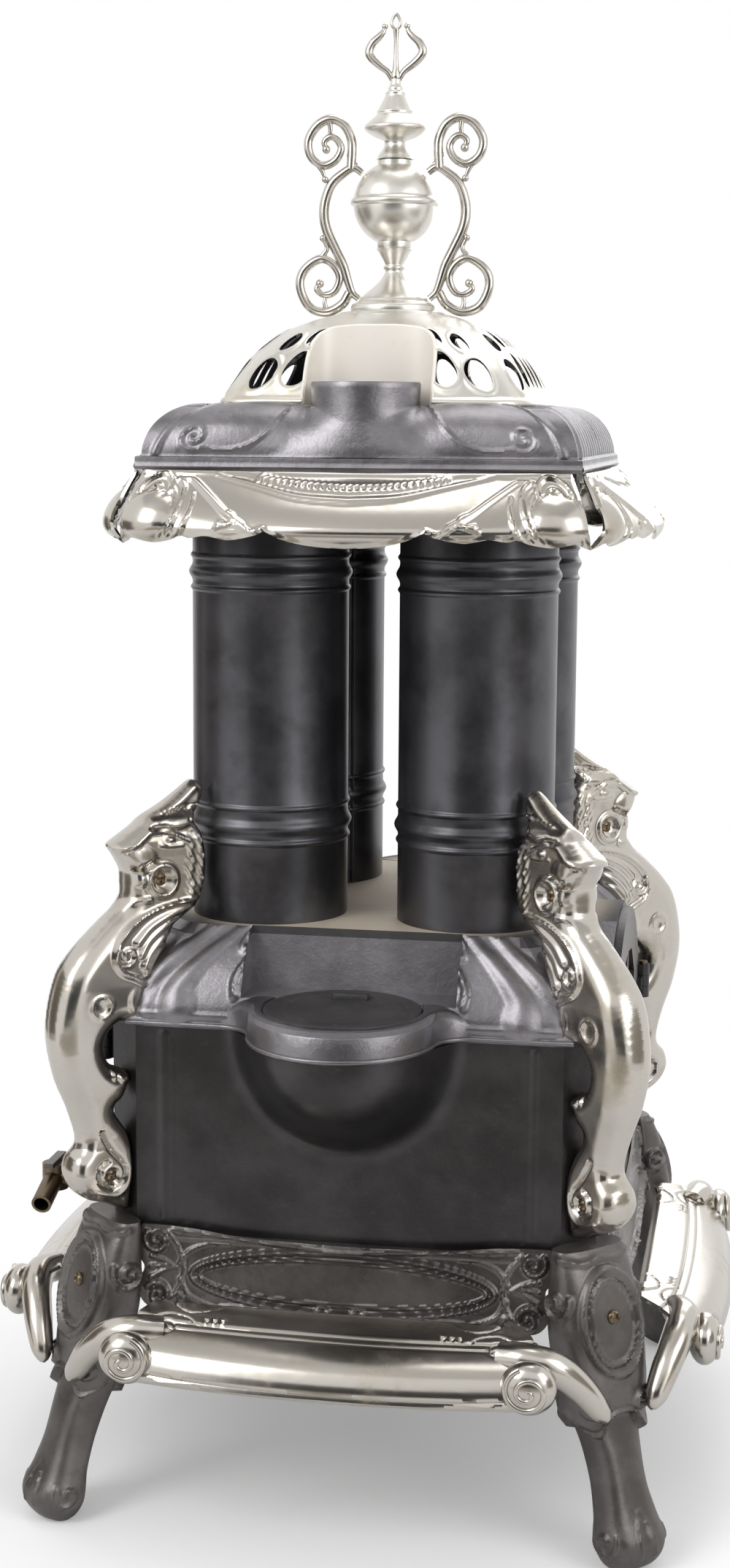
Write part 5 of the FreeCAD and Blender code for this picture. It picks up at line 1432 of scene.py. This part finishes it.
# Shoulder casting


class STOVE_OT_shoulder(StoveOperator, bpy.types.Operator):
    """Cast the folded shoulder, its hoods and the flange that swells round the flue boot"""

    bl_idname = "stove.shoulder"
    bl_label = "Shoulder casting"

    rim_low, rim_top, deck = 481.0, 495.0, 571.4
    rim_half, deck_half = 239.0, 186.6
    rim_corner, deck_corner, corner_soft = 312.4, 244.6, 10.0
    # Way in by the way up from the rim to the deck
    profile_shares = [
        (0.0, 0.0), (0.12, 0.05), (0.30, 0.17), (0.52, 0.36), (0.74, 0.62), (0.90, 0.86), (1.0, 1.0),
    ]
    # Openings for the niche and for the doors' arches, each cut a little past the edge of the sheet
    niche_half, niche_floor = 103.0, 511.0
    arch_half, arch_foot, arch_rise = 173.0, 489.0, 76.0
    overrun = 4.0
    # Moulding that follows the arch: how much wider and higher it lies
    arch_bead_grow, arch_bead_lift = (1.03, 1.0), (0, 2.0)
    # Rim mouldings: half length, then height, width and rise of each
    rim_reach, rim_rows = 222, ((484, 3.0, 1.6), (493, 2.6, 1.4))
    # Folds that fall from the deck to the rim, and the curled edge beside the niche
    folds = (
        ([(222, 499), (208, 522), (188, 548), (172, 571)], 17.0, 5.5, 0.7, 0.5),
        ([(166, 499), (170, 518), (158, 544), (138, 571)], 16.0, 5.5, 1.0, 0.4),
        ([(112, 513), (117, 528), (112, 550), (112, 571)], 4.0, 4.5),
    )
    hood_fold = [(186, 497), (190, 520), (184, 545), (172, 566)]
    wall = 2.0
    # Flange: the boot's middle and radius, the lid's bore, the hollow fillet, the ends and the depth
    boot = (0.0, -258.0)
    boot_radius, lid_bore, fillet, flange_end, flange_depth = 88.0, 76.2, 36.0, 214.0, 12.0
    # Rise towards the boot, width of that slope, and how far the top and the skirt lie over the rim's
    flange_rise, flange_slope, flange_level, flange_skirt = 17.0, 62.0, 0.6, 0.4
    # How far inside the boot's radius the slope starts, and the drop and width of the rounded lip
    slope_start, lip_drop, lip_wide = 2.0, 8.0, 11.0
    # Bead along the front edge: height over the rim's foot, and radius
    bead_up, bead_radius = 3.0, 2.4

    def section(self, up):
        """Half width and reach of the corners at heights."""
        share = unit((up - self.rim_top) / (self.deck - self.rim_top))
        inward = read_rows(through(self.profile_shares, 8), share)
        half = self.rim_half + inward * (self.deck_half - self.rim_half)
        return half, self.rim_corner + inward * (self.deck_corner - self.rim_corner)

    def surface(self, across, up):
        half, corner = self.section(up)
        x = across * corner / self.rim_corner
        out = blend_low(half, corner * math.sqrt(2) - np.abs(x), self.corner_soft)
        return np.stack([x, -out, up], 1)

    def niche(self):
        rows = np.linspace(self.niche_floor, self.deck + self.overrun, 9)
        share = self.rim_corner / self.section(rows)[1]
        return mirrored(np.stack([self.niche_half * share, rows], 1))

    def arch(self):
        angle = np.linspace(0, math.pi, 60)
        return np.stack([self.arch_half * np.cos(angle), self.arch_foot + self.arch_rise * np.sin(angle)], 1)

    def doorway(self):
        foot = self.rim_low - self.overrun
        return np.vstack([[(self.arch_half, foot)], self.arch(), [(-self.arch_half, foot)]])

    def cover(self, relief, hole):
        """One side of the shoulder with an opening in it."""
        for height, width, rise in self.rim_rows:
            relief.ridge([(-self.rim_reach, height), (self.rim_reach, height)], width, rise, both=False)
        reach = self.rim_corner / math.sqrt(2)
        bm = sheet((-reach, reach), (self.rim_low, self.deck), cells(1.25), holes=[hole])
        return raised(bm, self.surface, relief, self.wall)

    def near_cover(self):
        relief = Relief(both=True)
        for line, *sizes in self.folds:
            relief.line(line, *sizes)
        relief.ridge(volute((119, 560), (127, 566), 1.0, -1, 0.3, 24), 3.0, 3.0)
        return self.cover(relief, self.niche())

    def hood(self):
        relief = Relief(both=True)
        relief.line(self.hood_fold, 7.0, 4.5)
        relief.ridge(self.arch() * self.arch_bead_grow + self.arch_bead_lift, 4.0, 3.0, both=False)
        return self.cover(relief, self.doorway())

    def plan(self):
        """Front edge of the rim: straight, a hollow fillet, then round the boot."""
        x, y = self.boot
        hollow_out = -self.rim_half - self.fillet
        side = math.sqrt((self.boot_radius + self.fillet) ** 2 - (y - hollow_out) ** 2)
        meet = math.atan2(hollow_out - y, side)
        turn = np.linspace(math.pi / 2, math.pi + meet, 14)
        hollow = np.stack([side + self.fillet * np.cos(turn), hollow_out + self.fillet * np.sin(turn)], 1)
        front = np.linspace(meet, -math.pi / 2, 28)
        bow = np.stack([x + self.boot_radius * np.cos(front), y + self.boot_radius * np.sin(front)], 1)
        right = np.vstack([[(self.flange_end, -self.rim_half)], hollow, bow[1:]])
        return np.vstack([right, flipped(right[::-1])[1:]])

    def flange_height(self, flat, edge):
        """The flange rises towards the boot, and its lip is rounded over."""
        reach = np.hypot(*(flat - self.boot).T)
        near = unit(1 - (reach - self.boot_radius + self.slope_start) / self.flange_slope)
        rim, _, _ = nearest(flat, edge)
        lip = self.lip_drop * unit(1 - rim / self.lip_wide) ** 2
        return self.rim_top + self.flange_level + self.flange_rise * eased(near) - lip

    def flange(self):
        edge = self.plan()
        end, back = self.flange_end, self.flange_depth - self.rim_half
        outline = np.vstack([edge, [(-end, back), (end, back)]])
        hole = oval(self.boot, self.lid_bore, self.lid_bore, 72)[:-1]
        bm = sheet((-end, end), (self.boot[1] - self.boot_radius, back), cells(1.6), outline, [hole])
        flat = np.array([vert.co[:2] for vert in bm.verts])
        for vert, height in zip(bm.verts, self.flange_height(flat, edge)):
            vert.co.z = height
        rims = [side for side in bm.edges if side.is_boundary]
        drawn = bmesh.ops.extrude_edge_only(bm, edges=rims)["geom"]
        for vert in drawn:
            if isinstance(vert, bmesh.types.BMVert):
                vert.co.z = self.rim_low + self.flange_skirt
        bmesh.ops.recalc_face_normals(bm, faces=bm.faces)
        line = [(x, y, self.rim_low + self.bead_up) for x, y in edge]
        return bar(bm, line, np.full(len(line), self.bead_radius))

    def execute(self, context):
        look = "polished_iron"
        piece("shoulder_near", self.near_cover(), "stove", look)
        hood = self.hood()
        for turn, side in enumerate(SIDES):
            if side != "near":
                piece("shoulder_" + side, hood, "stove", look, SIDE_TURN * turn, keep=True)
        hood.free()
        piece("boot_flange", self.flange(), "stove", look)
        return {"FINISHED"}


class STOVE_OT_lid(StoveOperator, bpy.types.Operator):
    """Turn the boot lid with its raised ring and lifting lug"""

    bl_idname = "stove.lid"
    bl_label = "Boot lid"

    profile = [
        (0, 506), (74.4, 506), (74.4, 511), (73, 512.4), (69, 512.4), (67, 511.2), (58, 511.2),
        (56, 512.6), (53, 512.6), (51, 511.2), (0, 511.4),
    ]
    # Lug: half width, nearest and farthest way behind the lid's middle, foot and bevel
    lug_half, lug_from, lug_to, lug_foot, lug_bevel = 17.0, 37.5, 49.5, 509.0, 1.8

    def execute(self, context):
        top = cad_box("boot_lid")[1].z
        y = STOVE_OT_shoulder.boot[1]
        bm = bmesh.new()
        lathe(bm, self.profile, (0, y, 0), steps=96)
        low, high = (-self.lug_half, y + self.lug_from, self.lug_foot), (self.lug_half, y + self.lug_to, top)
        block(bm, low, high, self.lug_bevel)
        piece("boot_lid_casting", bm, "lid", "lid_iron", nodes=["boot_lid"])
        return {"FINISHED"}


# Top casting


class STOVE_OT_top(StoveOperator, bpy.types.Operator):
    """Cast the pillowed top with its lobes, pleats and flue collar"""

    bl_idname = "stove.top"
    bl_label = "Top casting"

    half, low, top = 209.0, 1006.0, 1066.0
    flue, flue_radius, flue_top = (0.0, -155.0), 51.4, 1088.0
    span, flat_in, flat_cell = 110.0, 52.0, 10.0
    pleats, pleat_step = 8, 25.0
    # One pleat from the rim to the flat: way aside and way along
    pleat = [(0, 24), (3, 48), (0, 78), (-7, 106)]
    # Trunk under the collar: the rim that stays free of it, its flare, and how softly it meets the side
    rim_rise, rim_share, flare, flare_reach, hollow = 13.0, 0.17, 62.0, 1.3, 16.0
    # Lobe: where it starts along the side and the run of its rise, its middle and half width, and its rise
    lobe_from, lobe_run, lobe_middle, lobe_half, lobe_rise = 22.0, 34.0, 128.0, 60.0, 4.0
    lobe_line = [(150, 30), (128, 28), (108, 32), (92, 44), (82, 64), (76, 104)]
    corner_line = [(196, 24), (190, 52), (181, 82), (172, 108)]
    # Way in and way up from the rim, over the run of the side
    side = [
        (0, 0), (0, 11), (1, 12.4), (4.6, 12.6), (5.0, 14), (6.5, 24), (12, 38), (22, 50), (36, 57.5),
        (52, 60),
    ]
    # Collar: way out from the flue's radius and way up from its top
    collar = [
        (-4.6, -48), (-4.6, -2), (-3.4, 0), (-0.8, 0), (0.2, -2), (0, -6), (-0.4, -14), (-0.4, -22),
        (-0.4, -46), (-2, -60),
    ]
    # Distance at which the sheets meet; level faces, up to this over the flat, take the lid's finish
    meet, level, level_reach = 0.4, 0.98, 1.0

    def surface(self, across, along):
        inward, up = paced(through(self.side, 6), unit(along / self.span))
        out = self.half - inward
        return np.stack([across * out / self.half, -out, self.low + up], 1)

    def near_surface(self, across, along):
        """The side with a trunk under the collar that flares down into the rim."""
        place = self.surface(across, along)
        fall = unit((self.top - place[:, 2]) / (self.top - self.low - self.rim_rise))
        wide = self.flue_radius + self.flare * fall**2
        bow = np.sqrt(unit(1 - (place[:, 0] / wide) ** 2))
        trunk = -self.flue[1] + self.flue_radius * bow
        inside = np.abs(place[:, 0]) < wide * self.flare_reach
        side = -place[:, 1]
        met = -blend_low(-side, -trunk, self.hollow)
        met = np.minimum(np.where(inside, met, side), self.half)
        place[:, 1] = -np.where(along > self.span * self.rim_share, met, side)
        return place

    def rimmed(self):
        """Ornament that starts with the moulding along the rim."""
        relief = Relief(both=True)
        relief.ridge([(-self.half, 4), (self.half, 4)], 2.6, 1.4, both=False)
        return relief

    def lobes(self):
        """Near side: a plump lobe on each side of a valley that runs up to the collar."""
        relief = self.rimmed()
        relief.line(self.lobe_line, 2.2, 1.5)
        relief.ridge(volute((160, 42), (150, 30), 1.5, 1, 0.15, 40), 2.2, 1.7)
        relief.line(self.corner_line, 5.0, 2.6, 0.8, 0.6)

        def height(flat):
            run = unit((flat[:, 1] - self.lobe_from) / self.lobe_run)
            plump = unit(1 - ((np.abs(flat[:, 0]) - self.lobe_middle) / self.lobe_half) ** 2)
            return relief(flat) + self.lobe_rise * run * plump

        return height

    def folds(self):
        """Other sides: soft pleats that lean from the rim to the flat of the top."""
        relief = self.rimmed()
        for step in range(self.pleats):
            start = self.pleat_step * (step + 0.5)
            relief.line([(start + aside, along) for aside, along in self.pleat], 10.5, 3.6, 1.0, 0.6)
        return relief

    def flat(self):
        half = self.half - self.flat_in
        cap = sheet((-half, half), (-half, half), self.flat_cell)
        return raised(cap, lambda x, y: np.stack([x, y, np.full(len(x), self.top)], 1))

    def execute(self, context):
        bm = self.flat()
        for turn, side in enumerate(SIDES):
            wall = sheet((-self.half, self.half), (0, self.span), cells(1.25))
            if side == "near":
                raised(wall, self.near_surface, self.lobes())
            else:
                raised(wall, self.surface, self.folds())
            joined(bm, turned(wall, SIDE_TURN * turn))
        bmesh.ops.remove_doubles(bm, verts=bm.verts, dist=self.meet)
        collar = [(self.flue_radius + out, self.flue_top + up) for out, up in self.collar]
        lathe(bm, collar, (*self.flue, 0), steps=96)
        bm.normal_update()
        for face in bm.faces:
            low = face.calc_center_median().z < self.top + self.level_reach
            face.material_index = int(face.normal.z > self.level and low)
        crown = piece("top_crown", bm, "stove", "polished_iron", nodes=["top_casting"])
        crown.data.materials.append(finishes()["lid_iron"])
        return {"FINISHED"}


# Dome


class STOVE_OT_dome(StoveOperator, bpy.types.Operator):
    """Raise the pierced nickel dome and the niche round the flue"""

    bl_idname = "stove.dome"
    bl_label = "Dome"

    low, tall, wall = 1066.4, 91.0, 3.0
    # Rise share with the half width there
    profile = [
        (0.0, 152), (0.06, 150.5), (0.26, 142), (0.42, 134), (0.58, 123), (0.77, 104), (0.89, 82),
        (0.97, 60), (1.0, 45),
    ]
    span, face_half = 120.0, 160.0
    # Powers of the plan's rounded square at the foot and at the top
    square_low, square_high = 7.0, 2.4
    niche = STOVE_OT_top.flue
    niche_radius, niche_skin, niche_square, niche_lip = 62.0, 2.0, 4.0, 1.5
    # Niche: how far under the dome's top it stops, degrees left open at its wall's ends, and least rise
    niche_under, niche_open, niche_least, niche_points = 4.0, 3.0, 1.0, 60
    # Beads along the foot and the top edge: way along and rise
    beads, bead_wide = ((3.0, 2.0), (116.0, 1.6)), 3.0
    # Petal openings: middle across and up, half length, half width and lean
    petals = (
        (0, 31, 15.5, 15.5, 0), (49, 31, 15.5, 15, 0), (97, 31, 15.5, 14.5, 4), (134, 27, 13.5, 13.5, 34),
        (0, 63, 10, 10, 0), (49, 63, 10, 11, 0), (96, 62, 10, 11, 8), (130, 57, 9.5, 10.5, 26),
    )
    # How much a petal narrows towards one end, and the rolled rim round it: growth, width and rise
    petal_taper, rim_grow, rim_wide, rim_rise = 0.22, 1.16, 3.0, 1.2

    def walk(self, along):
        """Rise and half width along the run of a side."""
        line = through(self.profile, 8) * (self.tall, 1)
        return paced(line, unit(along / self.span))

    def power(self, up):
        return self.square_low + (self.square_high - self.square_low) * unit(up / self.tall)

    def surface(self, across, along):
        up, half = self.walk(along)
        angle = across / self.face_half * math.pi / 4
        power = self.power(up)
        reach = half / (np.abs(np.cos(angle)) ** power + np.abs(np.sin(angle)) ** power) ** (1 / power)
        return np.stack([reach * np.sin(angle), -reach * np.cos(angle), self.low + up], 1)

    def petal(self, across, up, long, short, lean):
        sine, cosine = math.sin(math.radians(-lean)), math.cos(math.radians(-lean))
        angle = np.linspace(0, math.tau, 40, endpoint=False)
        x = short * np.sin(angle) * (1 - self.petal_taper * np.cos(angle))
        y = long * np.cos(angle)
        return np.stack([across + x * cosine - y * sine, up + x * sine + y * cosine], 1)

    def openings(self):
        holes = []
        for row in self.petals:
            hole = self.petal(*row)
            on_middle = row[0] == 0
            holes += [hole] if on_middle else [hole, flipped(hole)]
        return holes

    def ornament(self, holes):
        relief = Relief()
        for hole in holes:
            centre = hole.mean(0)
            ring = centre + (hole - centre) * self.rim_grow
            relief.ridge(np.vstack([ring, ring[:1]]), self.rim_wide, self.rim_rise)
        for along, rise in self.beads:
            relief.ridge([(-self.face_half, along), (self.face_half, along)], self.bead_wide, rise)
        return relief

    def face(self, near):
        """One pierced side; its inner faces take the second finish."""
        holes = self.openings()
        bm = sheet((-self.face_half, self.face_half), (0, self.span), cells(), holes=holes)
        raised(bm, self.surface, self.ornament(holes))
        if near:
            waste = [face for face in bm.faces if self.in_niche(face.calc_center_median())]
            bmesh.ops.delete(bm, geom=waste, context="FACES")
        walled(bm, self.wall)
        bm.normal_update()
        middle = Vector((0, 0, self.low))
        for face in bm.faces:
            face.material_index = int(face.normal.dot(face.calc_center_median() - middle) < 0)
        return bm

    def in_niche(self, spot):
        across, deep = abs(spot.x - self.niche[0]), abs(spot.y - self.niche[1])
        square = self.niche_square
        inside = across**square + deep**square < self.niche_radius**square
        return inside and spot.z < self.low + self.tall - self.niche_under

    def roof(self, angle):
        """Place where the niche's wall meets the dome, at an angle round the niche."""
        square, sine, cosine = self.niche_square, math.sin(angle), math.cos(angle)
        reach = self.niche_radius / (abs(cosine) ** square + abs(sine) ** square) ** (1 / square)
        x, y = self.niche[0] + reach * cosine, self.niche[1] + reach * sine
        up, half = self.walk(np.linspace(0, self.span, 160))
        power = self.power(up)
        inside = (np.abs(x) ** power + np.abs(y) ** power) ** (1 / power) < half
        return x, y, self.low + (up[inside].max() if inside.any() else 0.0)

    def niche_wall(self):
        bm = bmesh.new()
        angles = np.linspace(self.niche_open, 180 - self.niche_open, self.niche_points)
        rim = [self.roof(math.radians(angle)) for angle in angles]
        low = [bm.verts.new((x, y, self.low)) for x, y, _ in rim]
        high = [bm.verts.new((x, y, max(z, self.low + self.niche_least))) for x, y, z in rim]
        for a, b, c, d in zip(low, low[1:], high[1:], high):
            bm.faces.new((b, a, d, c))
        bmesh.ops.recalc_face_normals(bm, faces=bm.faces)
        bmesh.ops.solidify(bm, geom=bm.faces[:], thickness=-self.niche_skin)
        return bar(bm, rim, np.full(len(rim), self.niche_lip))

    def execute(self, context):
        bm = self.face(near=True)
        for turn in range(1, len(SIDES)):
            joined(bm, turned(self.face(near=False), SIDE_TURN * turn))
        shell = piece("dome_shell", bm, "dome_top", "dull_nickel", nodes=["dome"])
        # The inner faces take the darker drum steel finish
        shell.data.materials.append(finishes()["drum_steel"])
        # The niche's wall takes the pale nickel whose colour is painted light, in place of its bright
        # reflection
        piece("dome_niche", self.niche_wall(), "dome_top", "satin_nickel")
        return {"FINISHED"}


# Stage


class STOVE_OT_stage(StoveOperator, bpy.types.Operator):
    """Set the pale floor, the soft lamps and the camera"""

    bl_idname = "stove.stage"
    bl_label = "Stage"

    eye = (0.4025, -2.3936, 1.0536)
    yaw, roll = math.radians(10.154), math.radians(0.37)
    lens, film, far = 55.1, 36.0, 100.0
    floor_half, floor_drop, floor_tone = 6.0, 0.0005, (0.86, 0.86, 0.86)
    # Distances between which the floor fades out, and its glow for the camera alone
    fade_from, fade_to = 0.75, 1.9
    floor_glow = (0.22, 0.22, 0.22)
    even_tone, even_light, white = (0.93, 0.93, 0.94, 1), 0.65, (1, 1, 1, 1)
    # Cards that only the metal's reflections show: place, size, turn in degrees about X and Z, and tone
    cards = (
        ("front_card", (0.3, -3.6, 0.9), (3.4, 1.9), (90, 0), (0.05, 0.05, 0.05)),
        ("side_card", (-1.9, -0.35, 0.6), (1.1, 1.2), (90, 90), (0.20, 0.17, 0.13)),
        ("rear_side_card", (-1.9, 0.95, 0.6), (1.1, 1.2), (90, 90), (0.20, 0.17, 0.13)),
        ("right_card", (1.9, -0.75, 0.5), (1.4, 0.9), (90, 90), (0.34, 0.31, 0.26)),
        ("low_card", (0.0, -1.75, 0.002), (2.6, 1.3), (0, 0), (0.42, 0.38, 0.32)),
        ("high_card", (0.0, -0.8, 3.7), (4.4, 3.4), (180, 0), (0.82, 0.81, 0.79)),
    )
    # Lamps: place, height on the stove's axis that they aim at, width and power
    lamps = (
        ("key_lamp", (-1.9, -2.4, 2.6), 0.8, 1.5, 42.0),
        ("fill_lamp", (2.4, -1.6, 1.7), 0.8, 1.6, 24.0),
        ("top_lamp", (0.2, 0.5, 3.2), 1.0, 1.4, 16.0),
        ("back_lamp", (0.6, 2.6, 2.0), 0.8, 1.6, 14.0),
    )
    lamp_tall_share = 1.3

    def execute(self, context):
        scene = context.scene
        self.set_camera(scene)
        self.set_floor(scene)
        for card in self.cards:
            self.set_card(scene, *card)
        for lamp in self.lamps:
            self.set_lamp(scene, *lamp)
        self.set_world(scene)
        scene.view_settings.view_transform = "Standard"
        return {"FINISHED"}

    def set_camera(self, scene):
        data = bpy.data.cameras.new("photo_camera")
        data.lens = self.lens
        data.sensor_width = self.film
        data.sensor_fit = "AUTO"
        data.clip_end = self.far
        camera = bpy.data.objects.new("photo_camera", data)
        pitch = math.pi / 2 - scene.stove_sizes.tilt
        turn = Matrix.Rotation(self.yaw, 4, "Z") @ Matrix.Rotation(pitch, 4, "X")
        camera.matrix_world = Matrix.Translation(self.eye) @ turn @ Matrix.Rotation(self.roll, 4, "Z")
        scene.collection.objects.link(camera)
        scene.camera = camera

    def set_up(self, scene, bm, paint):
        """Makes a stage object of a mesh in metres and its paint."""
        name = paint.material.name
        mesh = bpy.data.meshes.new(name)
        bm.to_mesh(mesh)
        bm.free()
        mesh.materials.append(paint.material)
        made = bpy.data.objects.new(name, mesh)
        scene.collection.objects.link(made)

    def set_floor(self, scene):
        """A pale floor that fades out round the stove and keeps its shadow."""
        bm = bmesh.new()
        bmesh.ops.create_grid(bm, x_segments=2, y_segments=2, size=self.floor_half)
        bmesh.ops.translate(bm, vec=(0, 0, -self.floor_drop), verts=bm.verts)
        paint = Paint("floor")
        reach = paint.node("ShaderNodeVectorMath", {"operation": "LENGTH"}, paint.place(), out="Value")
        paint.set(
            Base_Color=(*self.floor_tone, 1), Roughness=0.8, Specular_IOR_Level=0.0,
            Alpha=reach.between(self.fade_from, self.fade_to, 1.0, 0.0),
            Emission_Color=paint.mix(paint.ray("Camera"), (0.0, 0.0, 0.0), self.floor_glow),
            Emission_Strength=1.0,
        )
        self.set_up(scene, bm, paint)

    def set_card(self, scene, name, place, size, turns, tone):
        """A card out of the camera's view, which only the metal's reflections show."""
        bm = bmesh.new()
        bmesh.ops.create_grid(bm, x_segments=1, y_segments=1, size=1.0)
        tip, swing = (math.radians(angle) for angle in turns)
        stand = Matrix.Rotation(swing, 4, "Z") @ Matrix.Rotation(tip, 4, "X")
        spread = Matrix.Diagonal((size[0] / 2, size[1] / 2, 1, 1))
        bmesh.ops.transform(bm, matrix=Matrix.Translation(place) @ stand @ spread, verts=bm.verts)
        paint = Paint(name)
        paint.set(Base_Color=(*tone, 1), Roughness=0.9, Specular_IOR_Level=0.0, Alpha=paint.ray("Glossy"))
        self.set_up(scene, bm, paint)

    def set_lamp(self, scene, name, place, aim, size, power):
        data = bpy.data.lights.new(name, "AREA")
        data.shape = "RECTANGLE"
        data.size = size
        data.size_y = size * self.lamp_tall_share
        data.energy = power
        lamp = bpy.data.objects.new(name, data)
        facing = (Vector(place) - Vector((0, 0, aim))).to_track_quat("Z", "Y")
        lamp.matrix_world = Matrix.Translation(place) @ facing.to_matrix().to_4x4()
        scene.collection.objects.link(lamp)

    def set_world(self, scene):
        """Plain even light, seen as white by the camera, by metal and through the mica."""
        scene.world = bpy.data.worlds.new("studio")
        scene.world.use_nodes = True
        sky = Nodes(scene.world.node_tree)
        seen = sky.ray("Camera").either(sky.ray("Glossy")).either(sky.ray("Transmission"))
        plain = sky.tree.nodes["Background"]
        sky.feed(plain.inputs["Color"], self.even_tone)
        sky.feed(plain.inputs["Strength"], self.even_light)
        even = Socket(sky, plain.outputs[0])
        clear = sky.node("ShaderNodeBackground", None, self.white)
        shown = sky.node("ShaderNodeMixShader", None, seen, even, clear)
        sky.feed(sky.tree.nodes["World Output"].inputs["Surface"], shown)


class STOVE_PT_sidebar(bpy.types.Panel):
    """Lists the stove's pieces and finishes"""

    bl_idname = "STOVE_PT_sidebar"
    bl_label = "Stove"
    bl_space_type = "VIEW_3D"
    bl_region_type = "UI"
    bl_category = "Stove"

    def draw(self, context):
        for group in (context.scene.stove_sizes, context.scene.stove_finishes):
            for key in group.__annotations__:
                self.layout.prop(group, key)
        for operator in OPERATORS:
            self.layout.operator(operator.bl_idname)


OPERATORS = (
    STOVE_OT_castings,
    STOVE_OT_legs,
    STOVE_OT_aprons,
    STOVE_OT_rails,
    STOVE_OT_panel,
    STOVE_OT_shoulder,
    STOVE_OT_lid,
    STOVE_OT_griffins,
    STOVE_OT_screws,
    STOVE_OT_drums,
    STOVE_OT_skirts,
    STOVE_OT_top,
    STOVE_OT_dome,
    STOVE_OT_finial,
    STOVE_OT_stage,
)
CLASSES = (StoveFinishes, StoveSizes, *OPERATORS, STOVE_PT_sidebar)


def register():
    for item in CLASSES:
        bpy.utils.register_class(item)
    bpy.types.Scene.stove_finishes = bpy.props.PointerProperty(type=StoveFinishes)
    bpy.types.Scene.stove_sizes = bpy.props.PointerProperty(type=StoveSizes)


def unregister():
    del bpy.types.Scene.stove_sizes
    del bpy.types.Scene.stove_finishes
    for item in reversed(CLASSES):
        bpy.utils.unregister_class(item)


def main():
    register()
    for operator in OPERATORS:
        group, name = operator.bl_idname.split(".")
        getattr(getattr(bpy.ops, group), name)()


if __name__ == "__main__":
    main()
